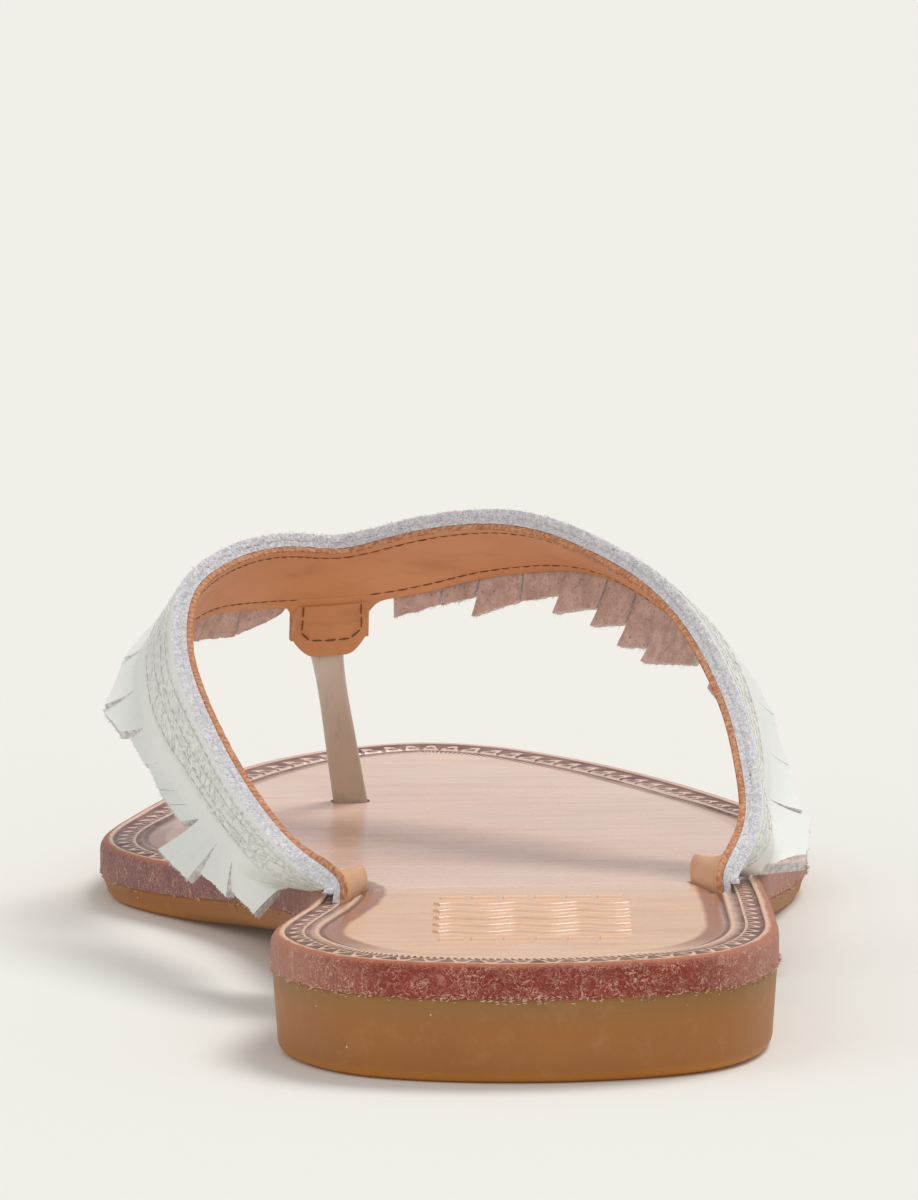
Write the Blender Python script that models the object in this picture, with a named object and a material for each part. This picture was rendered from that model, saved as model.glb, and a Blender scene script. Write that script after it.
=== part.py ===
"""Leather thong sandal with a fringed V strap, right foot.

Metres, +Z up, toe along +Y, medial (big toe) side at -X. Everything is built from the back of
the heel at y = 0 and then set with the heel's centre over the origin. It stands on z = 0.
"""

import math
from collections import namedtuple

import bmesh
import bpy
import numpy as np

# Sole sizes
SOLE_LENGTH = 0.2545
BALL_WIDTH = 0.095
WAIST_WIDTH = 0.057
HEEL_WIDTH = 0.0622
RUBBER_SHEET = 0.0030
HEEL_LIFT = 0.0071
HEEL_LENGTH = 0.066
BREAST_RAKE = 0.002
TOE_SPRING = 0.0029
OUTSOLE_INSET = 0.0004
OUTSOLE_EDGE_ROUND = 0.0012
FOOTBED_THICKNESS = 0.0043
FOOTBED_EDGE_ROUND = 0.0013

# Upper sizes
STRAP_THICKNESS = 0.0015
STRAP_WIDTH = 0.0165
STRAP_RISE = 0.0435
STRAP_CAMBER = 0.0003
STRAP_LIFT = 0.0022
LINING_THICKNESS = 0.0009
SLOT_LENGTH = 0.0202
SLOT_SLANT = 0.35
FRINGE_THICKNESS = 0.0011
FRINGE_LENGTH = 0.0105
FRINGE_STRIP = 0.0064
SLIT_LENGTH = 0.0072
FRINGE_BEND = 0.0025
SLIT_ROOT = 0.0004
SLIT_TIP = 0.0008
TAB_LENGTH = 0.0076
TAB_WIDTH = 0.0068
TAB_FILLET = 0.0008
TAB_SHIFT = 0.0012
TAB_STEP = 0.00015
TAB_LEAN = 0.25
TAB_ROUND = 0.25
POST_WIDTH = 0.0047
POST_DEPTH = 0.0036
POST_HEAD_RISE = 0.0030
POST_HEAD_SHIFT = 0.0013
POST_SQUARENESS = 0.7
POST_BELOW = 0.002

# Clearances
SEAM_GAP = 0.0003
SLOT_CLEARANCE = 0.00035
FRINGE_GAP = 0.0007
POST_GAP = 0.0013

# How finely the forms are divided, and how softly they turn
OUTLINE_STATIONS = 46
OUTLINE_SAMPLES = 900
PACED_SAMPLES = 1500
BAND_ROWS = (0.0, 0.33, 0.67, 1.0)
STRIP_ROWS = (-1.0, -0.55, -0.15, 0.0, 0.3, 0.6, 1.0)
ROUND_STEP = 0.3
STRAP_COLUMNS = 104
TAB_COLUMNS = 21
FOOT_COLUMNS = 14
FOOT_SPAN = 4.0
NORMAL_STEP = 0.001
RAMP_CORNER = 0.12
SMOOTH_ANGLE = math.radians(40)
POST_SIDES = 14

LEATHER_TAN = ("footbed_leather", (0.72, 0.47, 0.33), 0.45)
RUBBER_GUM = ("gum_rubber", (0.46, 0.27, 0.11), 0.55)
LEATHER_WHITE = ("strap_leather", (0.78, 0.79, 0.75), 0.5)
LEATHER_FRINGE = ("fringe_leather", (0.76, 0.78, 0.73), 0.5)
LEATHER_POST = ("post_leather", (0.66, 0.60, 0.52), 0.45)

# The sole's outline. along is a share of SOLE_LENGTH; medial and lateral are shares of width.
Edge = namedtuple("Edge", "along medial lateral width")
OUTLINE = (
    Edge(0.020, -0.281, 0.330, HEEL_WIDTH),
    Edge(0.055, -0.405, 0.460, HEEL_WIDTH),
    Edge(0.110, -0.470, 0.526, HEEL_WIDTH),
    Edge(0.165, -0.444, 0.539, HEEL_WIDTH),
    Edge(0.215, -0.432, 0.593, WAIST_WIDTH),
    Edge(0.265, -0.404, 0.596, WAIST_WIDTH),
    Edge(0.330, -0.412, 0.605, WAIST_WIDTH),
    Edge(0.400, -0.455, 0.625, WAIST_WIDTH),
    Edge(0.470, -0.312, 0.394, BALL_WIDTH),
    Edge(0.540, -0.383, 0.421, BALL_WIDTH),
    Edge(0.600, -0.462, 0.453, BALL_WIDTH),
    Edge(0.645, -0.508, 0.476, BALL_WIDTH),
    Edge(0.690, -0.518, 0.482, BALL_WIDTH),
    Edge(0.740, -0.500, 0.466, BALL_WIDTH),
    Edge(0.790, -0.467, 0.427, BALL_WIDTH),
    Edge(0.840, -0.423, 0.371, BALL_WIDTH),
    Edge(0.890, -0.366, 0.300, BALL_WIDTH),
    Edge(0.930, -0.304, 0.228, BALL_WIDTH),
    Edge(0.965, -0.227, 0.146, BALL_WIDTH),
    Edge(0.988, -0.142, 0.070, BALL_WIDTH),
)
HEEL_BACK = 0.024
TOE_TIP = -0.037

# Where the sole bends, as shares of SOLE_LENGTH
WAIST_BEND = 0.265
BALL_REST = 0.585
TOE_LIFT = 0.765
TOE_CURVE = 1.3

# The V strap's rear edge, from the medial slot over the toe post to the lateral slot.
# along is a share of SOLE_LENGTH, across of BALL_WIDTH, up of STRAP_RISE above the footbed of
# the forepart. lean is the angle in degrees by which the band tips outwards from hanging
# plumb, skew turns it from square to its edge towards the toe, and width is a share of
# STRAP_WIDTH. flare is the angle by which the fringe stands out
# from the band, and fringe is its length as a share of FRINGE_LENGTH.
Fold = namedtuple("Fold", "along across up lean skew width flare fringe")
STRAP = (
    Fold(0.267, -0.253, 0.268, -12, 66, 1.07, 42, 0.32),
    Fold(0.330, -0.307, 0.357, -6, 48, 0.97, 42, 1.02),
    Fold(0.397, -0.348, 0.465, -4, 34, 0.95, 18, 0.80),
    Fold(0.464, -0.380, 0.582, 3, 20, 0.94, 10, 0.60),
    Fold(0.525, -0.397, 0.691, 12, 8, 0.92, 20, 0.60),
    Fold(0.589, -0.388, 0.800, 25, 2, 0.91, 12, 0.65),
    Fold(0.639, -0.355, 0.860, 36, 0, 0.90, -8, 0.75),
    Fold(0.684, -0.294, 0.899, 46, 0, 0.90, -22, 0.80),
    Fold(0.719, -0.226, 0.891, 52, 0, 0.90, -30, 0.60),
    Fold(0.743, -0.165, 0.866, 54, 0, 0.90, -30, 0.00),
    Fold(0.735, -0.101, 0.910, 55, 0, 0.90, -30, 0.70),
    Fold(0.715, -0.032, 0.959, 55, 0, 0.90, -26, 0.95),
    Fold(0.688, 0.037, 0.987, 54, 0, 0.90, -34, 1.05),
    Fold(0.656, 0.104, 0.983, 53, 0, 0.90, -40, 1.10),
    Fold(0.619, 0.166, 0.940, 50, 0, 0.91, -40, 1.12),
    Fold(0.574, 0.226, 0.875, 46, 0, 0.91, -40, 1.10),
    Fold(0.519, 0.277, 0.773, 41, 2, 0.92, -32, 1.05),
    Fold(0.464, 0.311, 0.658, 30, 8, 0.93, -10, 0.90),
    Fold(0.409, 0.330, 0.547, 18, 18, 0.95, 14, 0.70),
    Fold(0.358, 0.337, 0.435, 9, 32, 0.98, 40, 0.80),
    Fold(0.303, 0.330, 0.306, 6, 50, 1.08, 84, 0.10),
)
POST_FOLD = 9

# The strap's slots in the footbed: rear end and front end, along as a share of SOLE_LENGTH,
# across as a share of WAIST_WIDTH.
Slot = namedtuple("Slot", "along across front_across")
MEDIAL_SLOT = Slot(0.224, -0.350, -0.295)
LATERAL_SLOT = Slot(0.249, 0.493, 0.453)

# The toe post from its slot (rise 0) to its head under the tab (rise 1). width is a share of
# POST_WIDTH, depth of POST_DEPTH, and so is set_back, how far it is bowed to the rear.
POST_ALONG = 0.817
POST_ACROSS = -0.154
Rung = namedtuple("Rung", "rise width depth set_back")
POST = (
    Rung(0.00, 1.00, 1.00, 0.00),
    Rung(0.18, 0.96, 1.00, 0.05),
    Rung(0.42, 0.89, 0.92, 0.17),
    Rung(0.66, 0.87, 0.75, 0.19),
    Rung(0.82, 1.00, 0.56, 0.11),
    Rung(0.92, 1.18, 0.44, 0.03),
    Rung(1.00, 1.35, 0.39, 0.00),
)

# Each strip in turn stands out by this much more than the table's flare, in degrees
FRINGE_SWAY = (3, -5, 6, -1, 5, -6, 0)
# Share of the strap's length at each end that the fringe leaves bare
FRINGE_MARGIN = 0.034
# The band is cut into strips where the table's fringe is above this
FRINGE_CUTOFF = 0.5

# The origin lies on the floor under the heel's centre
HEEL_CENTRE = 0.030


def clear_scene():
    for item in list(bpy.data.objects):
        bpy.data.objects.remove(item)


def spline(knots, values, wanted):
    """Natural cubic spline through values at knots, read at wanted."""
    knots = np.asarray(knots, float)
    values = np.asarray(values, float)
    count = len(knots)
    step = np.diff(knots)
    matrix = np.zeros((count, count))
    right = np.zeros((count,) + values.shape[1:])
    matrix[0, 0] = matrix[-1, -1] = 1.0
    slope = np.diff(values, axis=0) / step.reshape((-1,) + (1,) * (values.ndim - 1))
    for i in range(1, count - 1):
        matrix[i, i - 1 : i + 2] = step[i - 1], 2 * (step[i - 1] + step[i]), step[i]
        right[i] = 6 * (slope[i] - slope[i - 1])
    bend = np.linalg.solve(matrix, right)
    wanted = np.atleast_1d(np.asarray(wanted, float))
    k = np.clip(np.searchsorted(knots, wanted) - 1, 0, count - 2)
    h = step[k]
    a = (knots[k + 1] - wanted) / h
    b = (wanted - knots[k]) / h
    if values.ndim > 1:
        a, b, h = a[:, None], b[:, None], h[:, None]
    cubic = ((a**3 - a) * bend[k] + (b**3 - b) * bend[k + 1]) * h**2 / 6
    return a * values[k] + b * values[k + 1] + cubic


def chord_knots(points):
    """Centripetal knots for a curve through points."""
    gaps = np.sqrt(np.linalg.norm(np.diff(points, axis=0), axis=1))
    return np.concatenate([[0], np.cumsum(gaps)])


def unit(v):
    return v / np.linalg.norm(v, axis=-1, keepdims=True)


def soft_corner(t):
    """0 before t = 0 and t after it, with the corner rounded."""
    turn = (t + RAMP_CORNER) ** 2 / (4 * RAMP_CORNER)
    return np.where(t < -RAMP_CORNER, 0.0, np.where(t > RAMP_CORNER, t, turn))


def ramp(t):
    """0 before t = 0 and 1 after t = 1, straight between, with rounded corners."""
    t = np.asarray(t, float)
    return soft_corner(t) - soft_corner(t - 1)


def sole_lift(y):
    """Height of the rubber sheet's underside above the floor at y."""
    along = np.asarray(y, float) / SOLE_LENGTH
    fall = 1 - ramp((along - WAIST_BEND) / (BALL_REST - WAIST_BEND))
    toe = np.clip((along - TOE_LIFT) / (1 - TOE_LIFT), 0, None) ** TOE_CURVE
    return HEEL_LIFT * fall + TOE_SPRING * toe


def sheet_top(y):
    return sole_lift(y) + RUBBER_SHEET


def footbed_underside(y):
    return sheet_top(y) + SEAM_GAP


def footbed_top(y):
    return footbed_underside(y) + FOOTBED_THICKNESS


def outsole_underside(y):
    """The sheet's underside, with the heel block below it down to the floor."""
    block = np.clip((HEEL_LENGTH + BREAST_RAKE - y) / BREAST_RAKE, 0, 1)
    return sole_lift(y) * (1 - block)


def sole_sides():
    """Dense points of the medial and of the lateral side, both from heel to toe."""
    back = (HEEL_BACK * HEEL_WIDTH, 0.0)
    tip = (TOE_TIP * BALL_WIDTH, SOLE_LENGTH)
    lateral = [(e.lateral * e.width, e.along * SOLE_LENGTH) for e in OUTLINE]
    medial = [(e.medial * e.width, e.along * SOLE_LENGTH) for e in OUTLINE]
    ring = np.array([back] + lateral + [tip] + medial[::-1])
    # The ring is repeated at both ends so that the spline closes smoothly
    wrap = 4
    looped = np.concatenate([ring[-wrap:], ring, ring[: wrap + 1]])
    knots = chord_knots(looped)
    wanted = np.linspace(knots[wrap], knots[wrap + len(ring)], OUTLINE_SAMPLES)
    dense = spline(knots, looped, wanted)
    low = int(np.argmin(dense[:, 1]))
    dense = np.roll(dense[:-1], -low, axis=0)
    top = int(np.argmax(dense[:, 1]))
    return dense[top:][::-1], dense[: top + 1]


def outline_ring(extra_stations=()):
    """The outline as a closed ring: up the lateral side, then down the medial side.

    Point i of the lateral side and point i of the medial side share one y.
    """
    medial, lateral = sole_sides()
    low = max(medial[0, 1], lateral[0, 1])
    high = min(medial[-1, 1], lateral[-1, 1])
    turn = np.linspace(0, math.pi, OUTLINE_STATIONS + 1)[1:-1]
    y = low + (high - low) * (1 - np.cos(turn)) / 2
    y = np.unique(np.concatenate([y, extra_stations]))
    right = np.stack([np.interp(y, lateral[:, 1], lateral[:, 0]), y], 1)
    left = np.stack([np.interp(y, medial[:, 1], medial[:, 0]), y], 1)
    return np.concatenate([right, left[::-1]])


def inset(ring, distance):
    """The closed ring moved inwards by distance."""
    ahead = np.roll(ring, -1, axis=0)
    behind = np.roll(ring, 1, axis=0)
    run = unit(ahead - behind)
    inward = np.stack([-run[:, 1], run[:, 0]], 1)
    return ring + inward * distance


def material(spec):
    name, colour, roughness = spec
    made = bpy.data.materials.get(name) or bpy.data.materials.new(name)
    made.use_nodes = True
    shader = made.node_tree.nodes["Principled BSDF"]
    shader.inputs["Base Color"].default_value = (*colour, 1.0)
    shader.inputs["Roughness"].default_value = roughness
    shader.inputs["Metallic"].default_value = 0.0
    return made


def add_object(name, verts, faces, spec):
    mesh = bpy.data.meshes.new(name)
    mesh.from_pydata([tuple(map(float, v)) for v in verts], [], faces)
    form = bmesh.new()
    form.from_mesh(mesh)
    bmesh.ops.recalc_face_normals(form, faces=form.faces)
    if form.calc_volume(signed=True) < 0:
        bmesh.ops.reverse_faces(form, faces=form.faces)
    form.to_mesh(mesh)
    form.free()
    mesh.shade_smooth()
    mesh.set_sharp_from_angle(angle=SMOOTH_ANGLE)
    thing = bpy.data.objects.new(name, mesh)
    if spec:
        mesh.materials.append(material(spec))
    bpy.context.scene.collection.objects.link(thing)
    return thing


def hide_cutter(thing):
    thing.hide_render = True
    thing.display_type = "WIRE"


def cut(target, cutter):
    hide_cutter(cutter)
    boolean = target.modifiers.new("cut_" + cutter.name, "BOOLEAN")
    boolean.operation = "DIFFERENCE"
    boolean.solver = "EXACT"
    boolean.object = cutter


def layered_plate(name, ring, layers, spec):
    """A plate through layers, each (inset, height function), capped across its stations."""
    count = len(ring)
    half = count // 2
    verts = []
    for distance, height in layers:
        moved = inset(ring, distance)
        verts += [(x, y, float(height(y))) for x, y in moved]
    faces = []
    for k in range(len(layers) - 1):
        for i in range(count):
            j = (i + 1) % count
            faces.append((k * count + i, k * count + j, (k + 1) * count + j, (k + 1) * count + i))
    for base in (0, (len(layers) - 1) * count):
        for i in range(half - 1):
            faces.append((base + i, base + i + 1, base + count - 2 - i, base + count - 1 - i))
    return add_object(name, verts, faces, spec)


def make_outsole():
    """Gum rubber sheet with its heel block moulded on."""
    ring = inset(outline_ring([HEEL_LENGTH, HEEL_LENGTH + BREAST_RAKE]), OUTSOLE_INSET)
    soft = OUTSOLE_EDGE_ROUND
    layers = [
        (soft, outsole_underside),
        (soft * ROUND_STEP, lambda y: outsole_underside(y) + soft * ROUND_STEP),
        (0.0, lambda y: outsole_underside(y) + soft),
        (0.0, sheet_top),
    ]
    return layered_plate("outsole", ring, layers, RUBBER_GUM)


def make_footbed():
    """Thick vegetable-tanned leather board with a rounded upper edge."""
    ring = outline_ring()
    soft = FOOTBED_EDGE_ROUND
    layers = [
        (0.0, footbed_underside),
        (0.0, lambda y: footbed_top(y) - soft),
        (soft * ROUND_STEP, lambda y: footbed_top(y) - soft * ROUND_STEP),
        (soft, footbed_top),
    ]
    return layered_plate("footbed", ring, layers, LEATHER_TAN)


class Strap:
    """The band as a surface: place(s, v, t) with s from slot to slot along its rear edge, v
    across it from that edge, and t outwards from its middle."""

    def __init__(self):
        forepart = float(footbed_top(BALL_REST * SOLE_LENGTH))
        points = np.array(
            [
                (f.across * BALL_WIDTH, f.along * SOLE_LENGTH, forepart + f.up * STRAP_RISE)
                for f in STRAP
            ]
        )
        across = []
        for fold, run in zip(STRAP, unit(np.gradient(points, axis=0))):
            flat = unit(np.array([run[0], run[1], 0.0]))
            out = np.array([-flat[1], flat[0], 0.0])
            down = np.cross(run, out)
            down *= -np.sign(down[2])
            lean = math.radians(fold.lean)
            skew = math.radians(fold.skew)
            square = down * math.cos(lean) + out * math.sin(lean)
            across.append(square * math.cos(skew) + run * np.sign(run[1]) * math.sin(skew))
        feet = []
        for slot in (MEDIAL_SLOT, LATERAL_SLOT):
            y = slot.along * SOLE_LENGTH
            x = slot.across * WAIST_WIDTH
            side = (slot.front_across - slot.across) * WAIST_WIDTH
            line = unit(np.array([side, SLOT_LENGTH, 0.0]))
            rise = float(footbed_top(y)) - float(sheet_top(y)) - SEAM_GAP
            low = np.array([x, y - rise * SLOT_SLANT, sheet_top(y) + SEAM_GAP * 2])
            top = np.array([x, y, footbed_top(y)])
            lift = np.array([0.0, SLOT_SLANT, 1.0]) * STRAP_LIFT
            feet.append((low, top, top + lift, line))
        (m_low, m_top, m_up, m_line), (l_low, l_top, l_up, l_line) = feet
        self.points = np.array([m_low, m_top, m_up, *points, l_up, l_top, l_low])
        self.dirs = np.array([m_line] * 3 + across + [l_line] * 3)
        wide = [SLOT_LENGTH] * 3
        self.widths = np.array(wide + [f.width * STRAP_WIDTH for f in STRAP] + wide)
        self.flares = np.radians([0] * 3 + [f.flare for f in STRAP] + [0] * 3)
        self.fringe = np.array([0.0] * 3 + [f.fringe for f in STRAP] + [0.0] * 3)
        self.knots = chord_knots(self.points)
        self.length = self.knots[-1]
        self.tops = self.knots[1], self.knots[-2]
        self.post = self.knots[3 + POST_FOLD]

    def rear(self, s):
        return spline(self.knots, self.points, s)

    def across(self, s):
        return unit(spline(self.knots, self.dirs, s))

    def width(self, s):
        return spline(self.knots, self.widths, s)

    def ruled(self, s, v):
        return self.rear(s) + self.across(s) * np.asarray(v)[:, None]

    def normal(self, s, v):
        """Outward normal of the band at s and v."""
        step = self.length * NORMAL_STEP
        ahead = self.ruled(np.clip(s + step, 0, self.length), v)
        behind = self.ruled(np.clip(s - step, 0, self.length), v)
        return unit(np.cross(ahead - behind, self.across(s)))

    def place(self, s, v, t):
        """One point for each s, v and t."""
        s, v, t = np.broadcast_arrays(
            np.asarray(s, float).ravel(), np.asarray(v, float), np.asarray(t, float)
        )
        return self.ruled(s, v) + self.normal(s, v) * t[:, None]

    def tab_frame(self, s):
        """Direction in which the tab hangs and the way its outer face looks."""
        across = self.across(s)
        normal = self.normal(s, self.width(s))
        down = unit(across * TAB_LEAN + np.array([0.0, 0.0, -1.0]))
        return down, unit(normal - down * np.sum(normal * down, axis=1, keepdims=True))

    def foot_stations(self, end):
        """Values of s where the band passes the footbed, at its first or its last end."""
        top = self.tops[end]
        low = 0 if end == 0 else self.length
        s = np.linspace(low, low + (top - low) * FOOT_SPAN, FOOT_COLUMNS)
        return np.sort(s)

    def paced(self, start, end):
        """Values of s between start and end, with the distance run along the band's middle."""
        fine = np.linspace(start, end, PACED_SAMPLES)
        middle = self.place(fine, self.width(fine) / 2, 0)
        steps = np.linalg.norm(np.diff(middle, axis=0), axis=1)
        return fine, np.concatenate([[0], np.cumsum(steps)])


def band_mesh(rows_outer, rows_inner):
    """Closed solid from a grid of outer points and one of inner points, both (columns, rows)."""
    columns, rows = rows_outer.shape[:2]
    verts = np.concatenate([rows_outer.reshape(-1, 3), rows_inner.reshape(-1, 3)])
    base = columns * rows
    faces = []

    def at(i, j, inner):
        return i * rows + j + (base if inner else 0)

    for i in range(columns - 1):
        for j in range(rows - 1):
            faces.append((at(i, j, 0), at(i + 1, j, 0), at(i + 1, j + 1, 0), at(i, j + 1, 0)))
            faces.append((at(i, j, 1), at(i, j + 1, 1), at(i + 1, j + 1, 1), at(i + 1, j, 1)))
        for j in (0, rows - 1):
            faces.append((at(i, j, 0), at(i, j, 1), at(i + 1, j, 1), at(i + 1, j, 0)))
    for j in range(rows - 1):
        for i in (0, columns - 1):
            faces.append((at(i, j, 0), at(i, j + 1, 0), at(i, j + 1, 1), at(i, j, 1)))
    return verts, faces


def tab_reach(side):
    """How far the tab hangs below the band's lower edge, side metres from its middle."""
    inside = np.clip((TAB_WIDTH / 2 + TAB_FILLET - np.abs(side)) / TAB_FILLET, 0, 1)
    low = 1 - TAB_ROUND * np.clip(side / (TAB_WIDTH / 2), -1, 1) ** 2
    return TAB_LENGTH * low * inside**2 * (3 - 2 * inside)


def make_strap(strap):
    """Base leather with its lining, in one V band; its tab hangs over the toe post's top."""
    fine, run = strap.paced(0, strap.length)
    centre = np.interp(strap.post, fine, run) + TAB_SHIFT
    half = TAB_WIDTH / 2 + TAB_FILLET * 2
    near = np.interp(centre + np.linspace(-half, half, TAB_COLUMNS), run, fine)
    s = np.linspace(0, strap.length, STRAP_COLUMNS)
    first, last = strap.foot_stations(0), strap.foot_stations(-1)
    step = (s[1] - s[0]) / 2
    s = s[(s > first[-1] + step) & (s < last[0] - step)]
    s = s[(s < near[0] - step) | (s > near[-1] + step)]
    s = np.sort(np.concatenate([first, s, near, last]))
    hang = tab_reach(np.interp(s, fine, run) - centre)
    width = strap.width(s) - TAB_STEP * 2
    half = STRAP_THICKNESS / 2
    edge = strap.place(s, width, 0)
    keep = (hang / TAB_LENGTH)[:, None]
    down, face = strap.tab_frame(s)
    down = unit(strap.across(s) * (1 - keep) + down * keep)
    face = unit(strap.normal(s, width) * (1 - keep) + face * keep)
    grids = []
    for side in (1, -1):
        rows = []
        for share in BAND_ROWS:
            t = side * half + STRAP_CAMBER * 4 * share * (1 - share)
            rows.append(strap.place(s, width * share, t))
        # The tab is as thin as the lining that it is cut from
        thin = half if side < 0 else LINING_THICKNESS - half
        for share in (0.5, 1.0):
            depth = side * half * (1 - keep) + side * thin * keep
            reach = (TAB_STEP * 2 * share + hang * share)[:, None]
            rows.append(edge + down * reach + face * depth)
        grids.append(np.stack(rows, axis=1))
    verts, faces = band_mesh(*grids)
    return add_object("strap", verts, faces, LEATHER_WHITE)


def fringe_row(strap, s, share, lean_out):
    """Outer and inner points at each s, share of the way down the strip from root to tip.

    share below 0 counts back over the band from the strip's root (0) to its rear edge (-1).
    """
    width = strap.width(s)
    tip = width + np.interp(s, strap.knots, strap.fringe) * FRINGE_LENGTH
    root = tip - SLIT_LENGTH
    v = root * (1 + share) if share <= 0 else root + share * SLIT_LENGTH
    on_band = np.minimum(v, width)
    bend = np.clip(v - width, 0, FRINGE_BEND)
    rest = np.clip(v - width - FRINGE_BEND, 0, None)
    flare = np.interp(s, strap.knots, strap.flares) + lean_out
    across, normal = strap.across(s), strap.normal(s, on_band)
    full = across * np.cos(flare)[:, None] + normal * np.sin(flare)[:, None]
    half = across * np.cos(flare / 2)[:, None] + normal * np.sin(flare / 2)[:, None]
    past = half * bend[:, None] + full * rest[:, None]
    face = normal * np.cos(flare)[:, None] - across * np.sin(flare)[:, None]
    turning = np.where(bend[:, None] > 0, unit(face + normal), normal)
    face = np.where(rest[:, None] > 0, face, turning)
    camber = STRAP_CAMBER * 4 * on_band / width * (1 - on_band / width)
    base = strap.place(s, on_band, STRAP_THICKNESS / 2 + FRINGE_GAP + camber) + past
    return base + face * FRINGE_THICKNESS, base


def make_fringe(strap):
    """White leather sewn over the band, its lower part slit into hanging strips."""
    low, high = strap.tops
    margin = strap.length * FRINGE_MARGIN
    fine, run = strap.paced(low + margin, high - margin)
    count = int(round(run[-1] / FRINGE_STRIP))
    edges = np.linspace(0, run[-1], count + 1)
    rows = STRIP_ROWS
    root = rows.index(0.0)
    verts, faces = [], []

    def at(cell, column, row, inner):
        return ((cell * 3 + column) * len(rows) + row) * 2 + inner

    slit = []
    for cell in range(count):
        centre = np.interp((edges[cell] + edges[cell + 1]) / 2, run, fine)
        slit.append(float(np.interp(centre, strap.knots, strap.fringe)) > FRINGE_CUTOFF)
        sway = math.radians(FRINGE_SWAY[cell % len(FRINGE_SWAY)])
        grid = []
        for share in rows:
            gap = SLIT_ROOT / 2 + (SLIT_TIP - SLIT_ROOT) / 2 * max(share, 0)
            start, end = edges[cell], edges[cell + 1]
            where = np.array([start + gap, (start + end) / 2, end - gap])
            s = np.interp(where, run, fine)
            grid.append(fringe_row(strap, s, share, sway))
        for column in range(3):
            for outer, inner in grid:
                verts += [outer[column], inner[column]]
    last = len(rows) - 1
    for cell in range(count):
        for column in (0, 1):
            for row in range(last):
                for side in (0, 1):
                    faces.append(
                        (
                            at(cell, column, row, side),
                            at(cell, column + 1, row, side),
                            at(cell, column + 1, row + 1, side),
                            at(cell, column, row + 1, side),
                        )
                    )
            for row in (0, last):
                faces.append(
                    (
                        at(cell, column, row, 0),
                        at(cell, column + 1, row, 0),
                        at(cell, column + 1, row, 1),
                        at(cell, column, row, 1),
                    )
                )
        # Side walls of the strip, from its root or, at the layer's two ends, from its rear edge
        for column, neighbour in ((0, cell - 1), (2, cell + 1)):
            outside = neighbour < 0 or neighbour >= count
            joined = not outside and not slit[cell] and not slit[neighbour]
            first = 0 if outside else (last if joined else root)
            for row in range(first, last):
                faces.append(
                    (
                        at(cell, column, row, 0),
                        at(cell, column, row + 1, 0),
                        at(cell, column, row + 1, 1),
                        at(cell, column, row, 1),
                    )
                )
        if cell + 1 == count:
            continue
        joined = not slit[cell] and not slit[cell + 1]
        end = last if joined else root
        for row in range(end):
            for side in (0, 1):
                faces.append(
                    (
                        at(cell, 2, row, side),
                        at(cell + 1, 0, row, side),
                        at(cell + 1, 0, row + 1, side),
                        at(cell, 2, row + 1, side),
                    )
                )
        for row in (0, end):
            faces.append(
                (
                    at(cell, 2, row, 0),
                    at(cell + 1, 0, row, 0),
                    at(cell + 1, 0, row, 1),
                    at(cell, 2, row, 1),
                )
            )
    return add_object("fringe", verts, faces, LEATHER_FRINGE)


def slot_cutter(strap, name, end):
    """A body a little larger than the strap's end, from below the footbed to above it."""
    grow = SLOT_CLEARANCE
    s = strap.foot_stations(end)
    s = s[::-1] if end else s
    grids = []
    for side in (1, -1):
        rows = []
        for share in BAND_ROWS:
            width = strap.width(s)
            v = -grow + (width + 2 * grow) * share
            t = side * (STRAP_THICKNESS / 2 + grow) + STRAP_CAMBER * 4 * share * (1 - share)
            points = strap.place(s, v, t)
            first = points[0] + (points[0] - points[1])
            rows.append(np.concatenate([[first], points]))
        grids.append(np.stack(rows, axis=1))
    verts, faces = band_mesh(*grids)
    return add_object(name, verts, faces, None)


def post_body(name, strap, grow, spec):
    """The toe post through its rungs, or with grow the cutter for its slot."""
    y = POST_ALONG * SOLE_LENGTH
    foot = np.array([POST_ACROSS * BALL_WIDTH, y, float(footbed_top(y))])
    sole = float(sheet_top(y)) + SEAM_GAP
    s = np.array([strap.post])
    down, face = strap.tab_frame(s)
    edge = strap.place(s, strap.width(s), 0)
    front = LINING_THICKNESS - STRAP_THICKNESS / 2 + POST_GAP + POST[-1].depth * POST_DEPTH / 2
    head = (edge + down * POST_HEAD_RISE + face * front)[0]
    head[0] += POST_HEAD_SHIFT
    rings = []
    low = foot.copy()
    low[2] = sole - (POST_BELOW if grow else 0.0)
    path = [(low, POST[0])]
    for rung in POST:
        centre = foot + (head - foot) * rung.rise
        centre[1] -= rung.set_back * POST_DEPTH
        if grow and rung.rise > POST[1].rise:
            continue
        path.append((centre, rung))
    turn = np.arange(POST_SIDES) / POST_SIDES * 2 * math.pi
    cx = np.sign(np.cos(turn)) * np.abs(np.cos(turn)) ** POST_SQUARENESS
    cy = np.sign(np.sin(turn)) * np.abs(np.sin(turn)) ** POST_SQUARENESS
    for centre, rung in path:
        across = cx * (rung.width * POST_WIDTH / 2 + grow)
        deep = cy * (rung.depth * POST_DEPTH / 2 + grow)
        ring = np.stack([across, deep, cx * 0], 1)
        rings.append(ring + centre)
    verts = np.concatenate(rings)
    faces = []
    for k in range(len(rings) - 1):
        for i in range(POST_SIDES):
            j = (i + 1) % POST_SIDES
            a, b = k * POST_SIDES, (k + 1) * POST_SIDES
            faces.append((a + i, a + j, b + j, b + i))
    faces.append(tuple(range(POST_SIDES)))
    faces.append(tuple(range((len(rings) - 1) * POST_SIDES, len(rings) * POST_SIDES)))
    return add_object(name, verts, faces, spec)


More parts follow.
